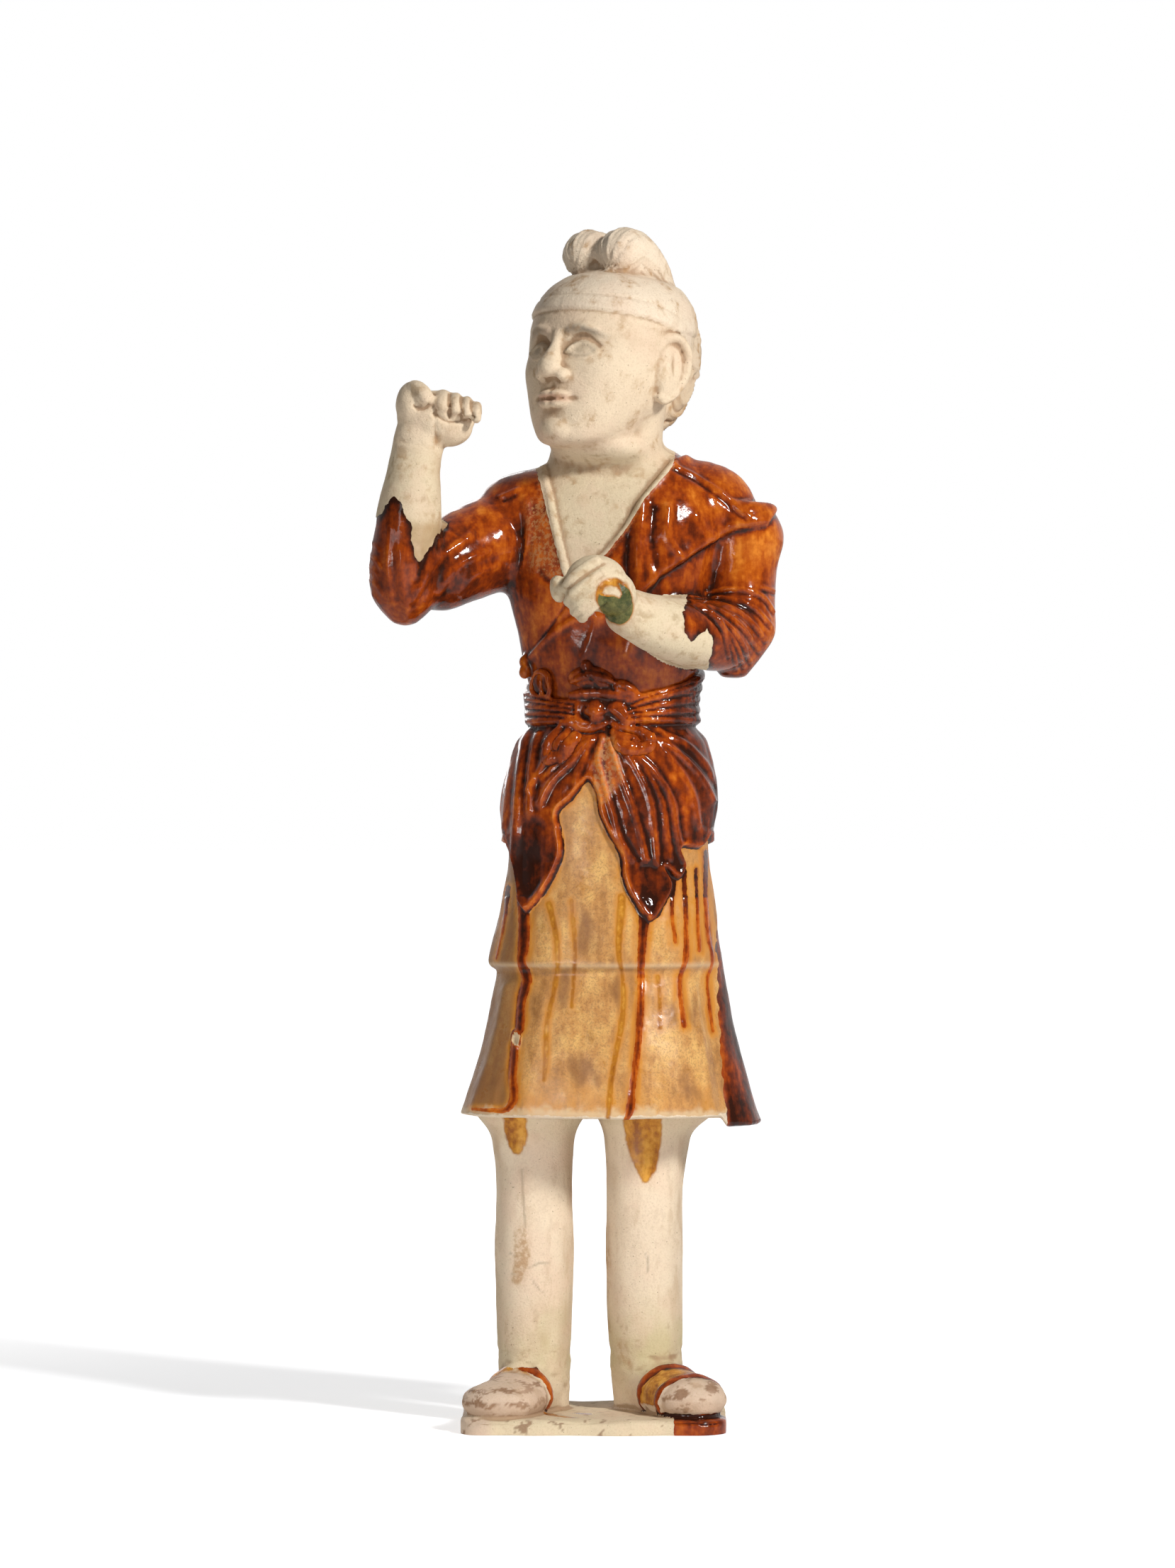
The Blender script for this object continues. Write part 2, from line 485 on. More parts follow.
def fired_clay_and_glaze():
    """Bare buff clay, straw glaze, amber runs, dark brown glaze and a touch of green, in one material.

    Where each begins comes from the distances marked on the piece, roughened by fine noise. Brown glaze is
    amber where it runs thin over ridges and nearly black where it pools.
    """
    material = bpy.data.materials.new("fired_clay_and_glaze")
    material.use_nodes = True
    tree = material.node_tree
    shader = tree.nodes["Principled BSDF"]
    place = shader_node(tree, "ShaderNodeTexCoord").outputs["Object"]

    def marks(name, output="Fac"):
        return shader_node(tree, "ShaderNodeAttribute", attribute_name=name).outputs[output]

    def grain(scale, detail=3.0, stretch=(1, 1, 1)):
        spread = shader_node(tree, "ShaderNodeMapping", {"Vector": place, "Scale": stretch}).outputs["Vector"]
        inputs = {"Vector": spread, "Scale": scale, "Detail": detail, "Roughness": 0.6}
        return shader_node(tree, "ShaderNodeTexNoise", inputs).outputs["Fac"]

    def worked(operation, first, second, clamp=False):
        inputs = {0: first, 1: second}
        return shader_node(tree, "ShaderNodeMath", inputs, operation=operation, use_clamp=clamp).outputs[0]

    def times(first, second, clamp=False):
        return worked("MULTIPLY", first, second, clamp)

    def plus(first, second, clamp=False):
        return worked("ADD", first, second, clamp)

    def between(value, low, high, out_low=0.0, out_high=1.0):
        inputs = {"Value": value, "From Min": low, "From Max": high, "To Min": out_low, "To Max": out_high}
        kind = "ShaderNodeMapRange"
        return shader_node(tree, kind, inputs, interpolation_type="SMOOTHSTEP").outputs["Result"]

    def mixed(share, first, second):
        inputs = {"Factor": share, "A": first, "B": second}
        return shader_node(tree, "ShaderNodeMix", inputs, data_type="RGBA").outputs["Result"]

    def mixed_value(share, first, second):
        inputs = {0: share, 2: first, 3: second}
        return shader_node(tree, "ShaderNodeMix", inputs, data_type="FLOAT").outputs[0]

    def colours(share, stops):
        made = shader_node(tree, "ShaderNodeValToRGB", {"Fac": share})
        line = made.color_ramp
        while len(line.elements) < len(stops):
            line.elements.new(0.5)
        for element, (position, colour) in zip(line.elements, stops, strict=True):
            element.position = position
            element.color = (*colour, 1.0)
        return made.outputs["Color"]

    fine = grain(900, 2.0)
    small = grain(260)
    middle = grain(90)
    broad = grain(24, 4.0)
    streaks = grain(120, 3.0, (1, 1, 0.22))
    edge_noise = times(plus(small, -0.5), 1.6)
    hollow = marks("hollow")

    brown_share = between(plus(marks("brown"), edge_noise), -0.12, 0.12)
    ochre_share = between(plus(marks("ochre"), edge_noise), -1.2, 0.6)
    straw_share = between(plus(marks("straw"), edge_noise), -0.5, 0.5)
    green_share = between(plus(marks("green"), edge_noise), -0.2, 0.2)
    worn_share = marks("worn")

    clay_colour = marks("clay", "Color")
    dust = times(between(broad, 0.5, 0.75), between(middle, 0.35, 0.7))
    stained = times(marks("stain"), between(small, 0.36, 0.62, 0.25, 1.1), clamp=True)
    for share, colour in (
        (times(dust, 0.6), GROUND_IN_DUST),
        (times(between(grain(38, 3.0), 0.45, 0.68), 0.35), PINK_CLAY),
        (times(between(fine, 0.45, 0.75), 0.26), SANDY_GRAIN),
        (times(between(grain(620, 1.0), 0.73, 0.77), 0.55), DARK_SPECK),
        (times(between(hollow, 0.05, 0.8), 0.75), GROOVE_DIRT),
        (stained, OLD_STAIN),
    ):
        clay_colour = mixed(share, clay_colour, colour)

    patches = plus(times(broad, 0.45), times(streaks, 0.35))
    straw_colour = colours(plus(patches, times(small, 0.2)), STRAW_STOPS)
    straw_colour = mixed(times(between(fine, 0.46, 0.66), 0.42), straw_colour, STRAW_FLECK)
    patchy = times(marks("yellow"), between(streaks, 0.36, 0.62, 0.55, 1.1), clamp=True)
    straw_colour = mixed(between(patchy, 0.0, 0.6), straw_colour, colours(patchy, AMBER_STOPS))
    straw_colour = mixed(times(between(marks("pool"), 0.1, 1.0), 0.75), straw_colour, STRAW_BROWN)
    straw_colour = mixed(marks("rubbed"), straw_colour, RUBBED_CREAM)

    ochre_colour = colours(plus(times(streaks, 0.6), times(small, 0.4)), OCHRE_STOPS)
    thin_edge = between(marks("ochre"), 0.0, 1.3, 0.55, 0.0)
    ochre_colour = mixed(thin_edge, ochre_colour, OCHRE_EDGE)

    thick = plus(marks("pool"), times(hollow, 0.7))
    for noise_layer, strength in ((streaks, 1.1), (small, 0.7), (broad, 1.1)):
        thick = plus(thick, times(plus(noise_layer, -0.5), strength))
    brown_colour = colours(plus(thick, 0.55, clamp=True), BROWN_STOPS)
    speckle = times(worn_share, between(grain(480, 3.0), 0.46, 0.58))
    brown_colour = mixed(times(speckle, 0.7), brown_colour, WORN_THROUGH)
    green_colour = colours(plus(times(small, 0.6), times(middle, 0.4)), GREEN_STOPS)

    colour = mixed(straw_share, clay_colour, straw_colour)
    colour = mixed(ochre_share, colour, ochre_colour)
    colour = mixed(brown_share, colour, brown_colour)
    colour = mixed(green_share, colour, green_colour)

    rough = mixed_value(straw_share, 0.72, between(middle, 0.3, 0.7, 0.26, 0.42))
    rough = mixed_value(ochre_share, rough, 0.16)
    glazed_rough = mixed_value(worn_share, between(middle, 0.3, 0.7, 0.05, 0.15), 0.5)
    rough = mixed_value(brown_share, rough, glazed_rough)
    rough = mixed_value(green_share, rough, 0.3)
    rough = mixed_value(marks("gloss"), rough, 0.12)

    clay_bump = plus(times(fine, 0.9), plus(small, times(middle, 1.6)))
    glaze_bump = plus(times(middle, 0.7), times(small, 0.25))
    height_map = mixed_value(worked("MAXIMUM", brown_share, straw_share), clay_bump, glaze_bump)
    bump = shader_node(tree, "ShaderNodeBump", {"Height": height_map, "Strength": 0.6, "Distance": 0.0006})
    shader.inputs["Metallic"].default_value = 0.0
    shader.inputs["Specular IOR Level"].default_value = 0.26
    tree.links.new(colour, shader.inputs["Base Color"])
    tree.links.new(rough, shader.inputs["Roughness"])
    tree.links.new(bump.outputs["Normal"], shader.inputs["Normal"])
    return material


earthenware = fired_clay_and_glaze()


def set_on_figure(piece):
    """Gives a finished piece of the figure its clay and puts it on the figure's one body."""
    piece.data.materials.clear()
    piece.data.materials.append(earthenware)
    piece.data.shade_smooth()
    bpy.context.scene.collection.objects.link(piece)
    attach(piece, "root")
    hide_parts(CAD_NODE)


set_on_figure(slab_and_legs)

# The coat's skirts and the sash
# A long coat open at both sides, worn over a shorter layer, and a second cloth wrapped round the hips with
# its corners hanging in two points. A twisted sash ties it, knotted at the front. All of it is pressed and
# hand-cut clay under runny amber glaze over straw glaze.

BODY_TURN = -8  # degrees that the body turns towards its own right
BOXY = 2.25  # above 2, a section is boxier than an ellipse
SKIRT_GRAIN = 0.0012
WRAP_STEP = 3.2


def turned(angle):
    """The side vector of a level roll that is turned by this many degrees about +Z."""
    return (math.cos(math.radians(angle)), math.sin(math.radians(angle)), 0)


skirt_clay = bmesh.new()
front_panel = [(-0.9, -9, 172, 80, 52), (1.5, -9, 206, 70, 48), (2.3, -6, 239, 63.5, 44),
               (4, -4, 262, 61, 41), (5, -2, 285, 58, 40)]
back_panel = [(9.5, 12, 171, 88, 50), (9, 11, 185, 83, 48), (8.5, 10, 206, 76.5, 47), (8.5, 8, 239, 69, 42),
              (8, 6, 262, 65.5, 40), (6, 4, 300, 61, 38)]
upper_layer = [(2.5, -3, 258, 67, 48), (4, -3, 272, 65.5, 46), (6, -2, 289, 63, 45),
               (6.6, -1, 306, 60.5, 43.5), (6.6, -1, 322, 58.5, 42), (6, -1, 339, 59, 42),
               (7, 0, 355, 60, 42.5), (8, 0, 372, 57.4, 41), (8.3, 0, 388, 53, 38.5),
               (8.6, 0, 401, 48, 35.5), (8.5, 0, 409, 46, 33.5), (8.5, 0, 420, 45, 32)]
open_tube = {"level": True, "round_ends": False, "square": BOXY}
for stations in (front_panel, back_panel, upper_layer):
    roll(skirt_clay, stations, side=turned(BODY_TURN), grid=(64, 64), **open_tube)
skirt_mesh = pressed(skirt_clay, 0.002, 3, "skirt_masses")

WAIST = [  # height, half width and half depth
    (388, 53, 38.5), (401, 49, 36.5), (414, 48.5, 35), (426, 50.5, 36), (438, 52, 38),
]
WAIST_MIDDLE = 8.4


def round_waist(around, z, out):
    """The point of the waist at this angle and height, standing out by this much."""
    heights, wides, deeps = zip(*WAIST, strict=True)
    x = (np.interp(z, heights, wides) + out) * boxy(math.cos(around), BOXY)
    y = (np.interp(z, heights, deeps) + out) * boxy(math.sin(around), BOXY)
    turn = math.radians(BODY_TURN)
    return WAIST_MIDDLE + x * math.cos(turn) - y * math.sin(turn), x * math.sin(turn) + y * math.cos(turn), z


def on_waist(x, z, out):
    """The point on the front of the waist at this x and height, standing out by this much."""
    angles = [math.radians(180 + 2 * step) for step in range(91)]
    return min((round_waist(around, z, out) for around in angles), key=lambda place: abs(place[0] - x))


def tie(clay, path, out):
    """A cord of clay laid on the front of the waist along (x, z, half height, half depth)."""
    stations = [(*on_waist(x, z, out), tall, deep) for x, z, tall, deep in path]
    roll(clay, stations, side=(0, 0, 1), grid=(14, 40))


sash_clay = bmesh.new()
strands = ((402.5, 403, 403, 2.3), (407, 405, 408.5, 2.5), (412, 407.5, 414.5, 2.6), (416, 410, 420.5, 2.7),
           (419.5, 412.5, 427.5, 2.9))  # height at the figure's right, front and left, and half thickness
for at_right, at_front, at_left, thick in strands:
    middle_z = (at_right + at_left) / 2
    stations = []
    for step in range(33):
        around = math.radians(11.25 * step + 90)
        z = middle_z + (at_left - at_right) / 2 * math.cos(around) + (middle_z - at_front) * math.sin(around)
        place = round_waist(around, z, 0.6 + 0.5 * math.sin(5 * around + at_left))
        stations.append((*place, 1.1 * thick, thick))
    roll(sash_clay, stations, side=(0, 0, 1), grid=(14, 110))
ties = (  # path along the front as (x, z, half height, half depth), and how far it stands out
    ([(-8, 407, 4, 4), (-4, 407.5, 6.2, 5.5), (1, 407, 6.6, 6), (6, 406, 5, 4)], 2.6),
    ([(6, 410, 3, 3), (11, 408.5, 4.2, 4), (16, 405, 4.2, 4), (19, 400.5, 3, 2.6)], 2.8),
    ([(-18, 424.5, 2.5, 2), (-12, 427, 5, 4), (-4, 428, 6, 5.4), (4, 426, 5.6, 5), (10, 423, 4, 3.4)], 0.6),
    ([(8, 424, 3, 3), (14, 421.5, 4.6, 4.2), (20, 419, 4.2, 3.4), (25, 416.5, 2.2, 2)], 0.8),
    ([(-17, 417.5, 1.6, 1.6), (-8, 418, 2.8, 2.4), (2, 418, 3.2, 3), (12, 416.5, 2.6, 2.4),
      (19, 414, 1.6, 1.6)], 2.2),
    ([(-9, 434, 2.2, 2), (-6.2, 434.6, 2.8, 2.4), (-3, 433, 2, 2)], 1.2),
    ([(6, 400.4, 1.7, 1.6), (-2, 399, 2.6, 2.0), (-10, 400, 3.6, 2.4), (-18, 402.5, 4.2, 2.6),
      (-22, 401, 2.4, 2)], 2.2),
    ([(-17, 402, 2, 1.4), (-23, 397, 2.2, 1.6), (-27.5, 391, 2.2, 1.5), (-29.2, 385, 1.8, 1.5),
      (-27, 379.5, 1.6, 1.4), (-22, 381, 1.8, 1.4), (-16.5, 387.5, 2, 1.5), (-11.5, 395, 2, 1.4)], 2.0),
    ([(-14, 400, 1.6, 1.2), (-19, 393, 1.8, 1.4), (-23, 387, 1.4, 1.2)], 2.2),
    ([(8, 400, 1.8, 1.5), (15, 398.5, 2, 1.6), (23, 396.5, 2, 1.5), (29.0, 392.5, 1.6, 1.4),
      (29.2, 387.6, 1.4, 1.4), (24, 385.8, 1.5, 1.4), (17, 388, 1.8, 1.5), (10, 394, 2, 1.4)], 2.0),
    ([(8, 397, 1.6, 1.2), (15, 393, 1.5, 1.2), (22, 390.5, 1.2, 1.1)], 1.6),
    ([(-38, 428, 1.6, 1.2), (-34, 431, 2, 1.4), (-29.5, 429, 2.4, 1.5), (-27.6, 422, 2.4, 1.5),
      (-29, 414.5, 1.8, 1.4)], 1.6),
    ([(-38, 428, 1.6, 1.2), (-38.4, 422, 2, 1.4), (-35, 416, 2.2, 1.4), (-30, 413.5, 1.8, 1.3)], 1.6),
    ([(-33, 427, 1.4, 1.2), (-33, 421, 1.8, 1.3), (-31, 416, 1.4, 1.2)], 1.2),
)
for path, out in ties:
    tie(sash_clay, path, out)
hips_mesh = pressed(sash_clay, SKIRT_GRAIN, 2, "hips", add=skirt_mesh)


def unrolled(points, middle, wide, deep):
    """Points unrolled round an upright axis: distance round it from the front, and height."""
    round_it = np.arctan2((points[:, 0] - middle) / wide, -points[:, 1] / deep)
    return np.stack([wide * round_it, points[:, 2]], axis=1)


def onto_unrolled(line, middle, wide):
    """A line drawn on the front as (x, z), carried over to the unrolled body."""
    return [(wide * math.asin(max(-1, min(1, (x - middle) / wide))), z) for x, z in line]


HIP_MIDDLE, HIP_WIDE, HIP_DEEP = 6, 62, 45
RIGHT_POINT = [(-55, 333), (-52, 325), (-50, 318), (-47, 306), (-44, 296), (-40, 292), (-36, 296), (-30, 306),
               (-25, 317), (-22, 327), (-23, 337), (-25, 347), (-24, 351)]
APEX = [(-18, 356), (-12, 363), (-6, 368), (-2, 363), (2, 347), (8, 335)]
LEFT_POINT = [(14, 323), (15, 312), (20, 298), (28, 287), (35, 296), (40, 308), (37, 317), (44, 311),
              (48, 317), (46, 329), (58, 329), (64, 336)]
FRONT_EDGE = curved([*RIGHT_POINT, *APEX, *LEFT_POINT], 1.5)
WRAP_EDGE = [(-200, 334), (-95, 331), *onto_unrolled(FRONT_EDGE, HIP_MIDDLE, HIP_WIDE), (84, 336), (96, 331),
             (200, 334)]
WRAP = [(-200, 440), *WRAP_EDGE, (200, 440)]
WRAP_FOLDS = (  # line, half width, height
    ([(-2, 391), (-9, 376), (-12, 366)], 1.8, 1.2),
    ([(-5, 390), (-16, 376), (-26, 366), (-32, 354)], 2.2, 1.6),
    ([(-10, 388), (-22, 377), (-31, 368)], 1.6, 1.0),
    ([(-18, 388), (-30, 376), (-38, 362)], 2.0, 1.4),
    ([(-34, 394), (-37, 372), (-38, 350)], 2.0, 1.1),
    ([(-39, 396), (-43, 372), (-45, 343), (-47, 308)], 2.0, 1.6),
    ([(-45, 392), (-49, 366), (-52, 340)], 1.6, 1.0),
    ([(3, 393), (1, 380), (4, 366), (9, 349), (12, 337), (20, 322)], 1.7, 1.5),
    ([(7, 390), (13, 371), (19, 355), (24, 339), (28, 321)], 1.7, 1.4),
    ([(12, 390), (22, 375), (29, 359), (32, 339), (33, 320)], 1.9, 1.5),
    ([(16, 388), (28, 372), (36, 356), (39, 338), (41, 322)], 1.6, 1.1),
    ([(19, 386), (33, 371), (42, 355), (44, 339), (48, 322)], 2.0, 1.6),
    ([(25, 397), (44, 384), (56, 372), (65, 356)], 2.0, 1.5),
    ([(30, 392), (44, 376), (53, 360), (56, 342)], 2.0, 1.0),
    ([(35, 397), (50, 388), (62, 374), (68, 362)], 1.6, 1.1),
)
PANEL_FOLDS = (
    ([(-52, 252), (-60, 215), (-72, 178)], 2.6, 1.3),
    ([(-46, 250), (-50, 215), (-58, 178)], 3.0, -0.9),
    ([(-30, 250), (-36, 215), (-44, 180)], 6, 0.9),
    ([(-6, 252), (-8, 215), (-11, 178)], 7, -0.6),
    ([(20, 252), (24, 215), (28, 178)], 7, 0.8),
    ([(55, 250), (59, 225), (66, 178)], 2.4, 0.9),
    ([(60, 250), (65, 220), (72, 176)], 2.0, -0.9),
)
KNOT_FOLDS = (
    ([(-19, 424), (-8, 431), (4, 430), (14, 424)], 1.0, -0.9),
    ([(-17, 421), (-6, 425.5), (6, 424), (16, 420)], 1.0, -0.8),
    ([(-10, 432), (-4, 426), (0, 421)], 0.9, -0.8),
    ([(2, 431), (5, 426), (9, 420)], 0.9, -0.6),
    ([(-7, 410), (-2, 411), (4, 409)], 0.9, -0.6),
    ([(-6, 404.5), (0, 404), (5, 405.5)], 0.9, -0.6),
    ([(-22, 403.5), (-14, 401), (-6, 399.5)], 0.8, -0.7),
    ([(10, 411), (15, 407), (18, 402)], 0.8, -0.6),
)
DARK_RUNS = (  # (x, z, width) down each run of dark glaze
    [(-43, 300, 7), (-43, 270, 6), (-44, 262, 5), (-41, 254, 6), (-44, 241, 5), (-45, 224, 5)],
    [(-48, 213, 5), (-49, 196, 4.6), (-49, 182, 4.6), (-52, 178, 3.4), (-63, 177, 2.4), (-73, 177, 1.2)],
    [(28, 296, 7), (26, 278, 5), (25, 260, 4.2), (25, 245, 3.8), (23, 213, 3.8), (20, 192, 3.6),
     (18, 176, 4.2), (16, 172, 2.5)],
    [(50, 315, 3), (51, 286, 2.6), (50, 261, 3), (48, 255, 2.2), (48, 241, 2.6), (50, 226, 3)],
    [(57, 316, 2.2), (58, 290, 1.7), (59, 269, 2)],
    [(63, 326, 2.8), (63, 294, 2.6), (65, 274, 2.4), (67, 263, 2.0), (64, 253, 1.6), (65, 237, 1.6),
     (67, 222, 1.6)],
    [(44, 310, 3), (43, 290, 1.9), (45, 274, 2.2)],
    [(-52, 305, 3), (-54, 288, 1.8), (-57, 272, 1.3), (-59, 264, 0.9)],
)
AMBER_RUNS = (
    [(-28, 296, 3), (-24, 278, 2.2), (-23, 262, 2), (-25, 247, 2), (-29, 229, 1.8), (-30, 204, 2.2),
     (-31, 195, 1.2)],
    [(14, 300, 4), (13, 262, 2), (14, 257, 1.4), (15, 245, 2), (14, 229, 2.4), (11, 213, 2.2), (8, 196, 2.2),
     (6, 174, 2)],
    [(35, 254, 2), (36, 237, 1.6), (36, 225, 2.4)],
    [(-15, 298, 1.6), (-13, 268, 1.6), (-14, 249, 1.2), (-15, 237, 0.8)],
)
BACK_RUNS = (  # how far round from the front, height of the lower end, and width
    (-160, 205, 4), (-140, 188, 6), (-120, 232, 3), (-98, 196, 5), (98, 200, 5), (112, 166, 7),
    (128, 166, 8), (144, 180, 6), (162, 228, 3), (178, 196, 5), (-178, 196, 5),
)
SIDE_GLAZE = [(70, 290), (69, 273), (70, 244), (71, 224), (72, 203), (74, 182), (76, 150), (140, 150),
              (140, 290)]
PALE_V = [(-3, 378), (2, 392), (9, 395), (12, 384), (16, 368), (10, 362), (3, 352), (-3, 362)]
BURST = (-47.3, 218)  # a bubble in the glaze that burst in the kiln

points, normals = surface(hips_mesh)
height = points[:, 2]
facing = ramp(-normals[:, 1], -0.05, 0.35)
flat = points[:, [0, 2]]
cloth = unrolled(points, HIP_MIDDLE, HIP_WIDE, HIP_DEEP)
into_wrap = inside(cloth, WRAP)
hips = ramp(height, 262, 270) * (1 - ramp(height, 388, 400))
lift = hips * (WRAP_STEP * ramp(into_wrap, -0.9, 1.0) + 0.7 * near(into_wrap, 1.8, 1.2))
beside_folds = [
    ([(x + wide * 1.7, z) for x, z in line], wide, -0.45 * tall) for line, wide, tall in WRAP_FOLDS
]
folds = ridges(flat, [*WRAP_FOLDS, *beside_folds])
lift += facing * ramp(height, 270, 280) * (1 - ramp(height, 396, 402)) * folds * ramp(into_wrap, 0, 3)
lift += facing * ridges(flat, KNOT_FOLDS)
for lower, upper in zip(strands[:-1], strands[1:], strict=True):
    at_right, at_front, at_left = ((a + b) / 2 for a, b in zip(lower[:3], upper[:3], strict=True))
    for line in ([(-48, at_right), (-30, (at_right + at_front) / 2), (-14, at_front)],
                 [(18, at_front), (34, (at_left + at_front) / 2), (56, at_left)]):
        lift += facing * ridge(flat, line, 0.9, -1.3)
lift -= facing * 1.3 * ramp(-distance(flat, [(-36, 340), (-37, 305)]), -9, -3) * ramp(into_wrap, 3, 6)
lift -= facing * 1.1 * ramp(-distance(flat, [(29, 316), (29, 298)]), -7, -2) * ramp(into_wrap, 3, 5)
panels = facing * ramp(height, 172, 180) * (1 - ramp(height, 246, 254))
lift += panels * ridges(flat, PANEL_FOLDS)
behind = 1 - facing
sides_and_back = behind * ramp(height, 174, 190) * (1 - ramp(height, 300, 330))
lift += sides_and_back * 1.3 * np.cos(cloth[:, 0] / HIP_WIDE * 9 + 0.006 * (height - 260))
pleats = np.cos(cloth[:, 0] / HIP_WIDE * 23 + 1.4 * np.sin(cloth[:, 0] / 19) + 0.02 * (height - 330))
lift += behind * ramp(height, 338, 352) * (1 - ramp(height, 392, 402)) * pleats
lift += facing * 0.55 * ramp(any_run(flat, DARK_RUNS), -0.6, 1.2) * (height < 300)
burst = np.hypot(flat[:, 0] - BURST[0], (flat[:, 1] - BURST[1]) / 1.8)
lift += facing * (near(burst, 2.4, 0.9) - 0.8 * near(burst, 0, 1.5))
lift += 0.35 * uneven(points, 14, 3) + 0.12 * uneven(points, 4, 4)
longer_side = 5.5 * ramp(points[:, 0], 71, 76) * (1 - ramp(height, 172, 205))
moved(hips_mesh, normals * lift[:, None] - longer_side[:, None] * (0, 0, 1))
hips_mesh = thinned(hips_mesh, "hips_thin")

points, normals = surface(hips_mesh)
height = points[:, 2]
flat = points[:, [0, 2]]
front_side = -normals[:, 1] > -0.1
cloth = unrolled(points, HIP_MIDDLE, HIP_WIDE, HIP_DEEP)
into_wrap = inside(cloth, WRAP)
soft = uneven(points, 5, 21)
on_wrap = np.where(height > 262, into_wrap + 1.2 + 0.8 * soft, NO_GLAZE)
dark = np.where(front_side, any_run(flat, DARK_RUNS) + 0.25 * soft, NO_GLAZE)
trails = [
    [(place, 345, width + 2), (place + 1, 300, width), (place - 1, 262, width), (place, foot, width)]
    for place, foot, width in BACK_RUNS
]
back_runs = np.where(front_side, NO_GLAZE, any_run(cloth, trails) + 0.8 * soft)
left_side = inside(flat, SIDE_GLAZE) + 1.5 * soft
burst = np.hypot(flat[:, 0] - BURST[0], (flat[:, 1] - BURST[1]) / 1.8)
in_burst = front_side & (burst < 2.1)
round_burst = np.where(front_side & (burst < 4), 3.2 - burst, NO_GLAZE)
brown = np.maximum.reduce([on_wrap, dark, back_runs, left_side, round_burst])
brown = np.where(in_burst, -2, brown)
amber = np.where(front_side, any_run(flat, AMBER_RUNS), NO_GLAZE)
yellow = np.maximum.reduce([
    0.95 * ramp(dark, -2.6, 0.2),
    0.55 * ramp(dark, -6.5, -1),
    0.8 * ramp(amber, -1.6, 0.6),
    0.45 * ramp(amber, -4.5, -0.5),
    0.34 * ramp(-height + 6 * soft, -212, -178),
    0.85 * ramp(into_wrap + 1.5 * soft, -4.5, -0.3) * (height > 262),
    0.36 * ramp(into_wrap + 2 * soft, -11, -2) * (height > 262),
])
hem_wear = ramp(-height + 4 * uneven(points, 7, 23) + 2 * uneven(points, 2.5, 24), -180, -176) * front_side
rubbed = 0.8 * ramp(-height, -176.5, -173.5) * front_side + 0.55 * near(height, 260.5, 1.6)
rubbed = np.maximum(rubbed, 0.7 * hem_wear) * (height < 268)
rubbed = np.where(in_burst, 1, rubbed)
underneath = (normals[:, 2] < -0.6) & (height < 180)
bare_rim = (height - 174.6) + 1.1 * soft + 0.8 * uneven(points, 2.2, 22)
straw = np.where(underneath, -5, np.where(front_side, bare_rim, 10.0))
pale_patch = inside(flat, PALE_V) + 1.4 * uneven(points * (1, 1, 0.3), 2.6, 25)
pool = 0.22 * ramp(into_wrap, 0, 6) * ramp(-height, -365, -300)
pool += (0.55 * ramp(dark, 0.2, 2.4) - 0.25) * (dark > -1) * (height < 290)
pool += 0.3 * ramp(left_side, 0, 4) - 0.28 * near(into_wrap, 0.6, 1.5) * (height < 372)
pool += 0.06 * (height > 372) + 0.10 * ramp(-height, -350, -310) * (height > 262)
pool += 0.34 * ramp(cloth[:, 0], 36, 62) * (height > 300) * front_side
pool -= 0.35 * ramp(pale_patch, -2, 2) * front_side
tanned = ramp(uneven(points * (1, 1, 0.5), 16, 26) + 0.5 * uneven(points * (1, 1, 0.4), 5, 27), 0.0, 0.8)
tanned = np.maximum(0.75 * tanned, 0.9 * ramp(-cloth[:, 0], 36, 50)) * (1 - ramp(yellow, 0.3, 0.8))
pool = np.where((into_wrap < -1.5) & (height < 330) & (brown < -1) & front_side, tanned, pool)
marked(hips_mesh, clay=np.tile(np.array(BARE_CREAM), (len(points), 1)), brown=brown, ochre=amber, straw=straw,
       yellow=yellow, rubbed=rubbed, hollow=hollows(hips_mesh, 14, 0.9), pool=pool,
       stain=0.5 * near(height, 257, 2.0), gloss=ramp(dark, 0, 0.8),
       worn=ramp(pale_patch, -1.5, 2) * front_side)
set_on_figure(bpy.data.objects.new("skirts_and_sash", hips_mesh))

# The trunk, arms, neck and head
# The upper part of the coat crosses over the chest, with a short over-sleeve on the figure's left. Both
# forearms are bare from the glaze's ragged edge to the fists. Neck, head and hair are unglazed and painted.

TRUNK_GRAIN = 0.00125
HEAD_TURN = -38
HEAD_TILT = 7
HEAD_HEIGHT = 110
HEAD_SEAT = (5, -7, 556)
HEAD_CLAY = (0.72, 0.575, 0.405)
CHEST_CREAM = (0.67, 0.55, 0.37)
CLOTH_BUFF = (0.78, 0.66, 0.52)
HAIR_BROWN = (0.45, 0.33, 0.21)
BROW_GREY = (0.17, 0.14, 0.11)
EYE_BROWN = (0.36, 0.28, 0.19)
LIP_RED = (0.50, 0.15, 0.08)
SLEEVE_RIM = (0.40, 0.26, 0.12)
HAND_DIRT = (0.38, 0.25, 0.13)
RING_SHADE = (0.42, 0.26, 0.16)


def lump(clay, centre, size, carried=in_place):
    """Adds a lump of clay with these half sizes along X, Y and Z, its points carried to their places."""
    made = bmesh.ops.create_uvsphere(clay, u_segments=24, v_segments=16, radius=1)["verts"]
    local = np.array([v.co for v in made]) * np.array(size, float) + np.array(centre, float)
    for vertex, place in zip(made, carried(local), strict=True):
        vertex.co = place


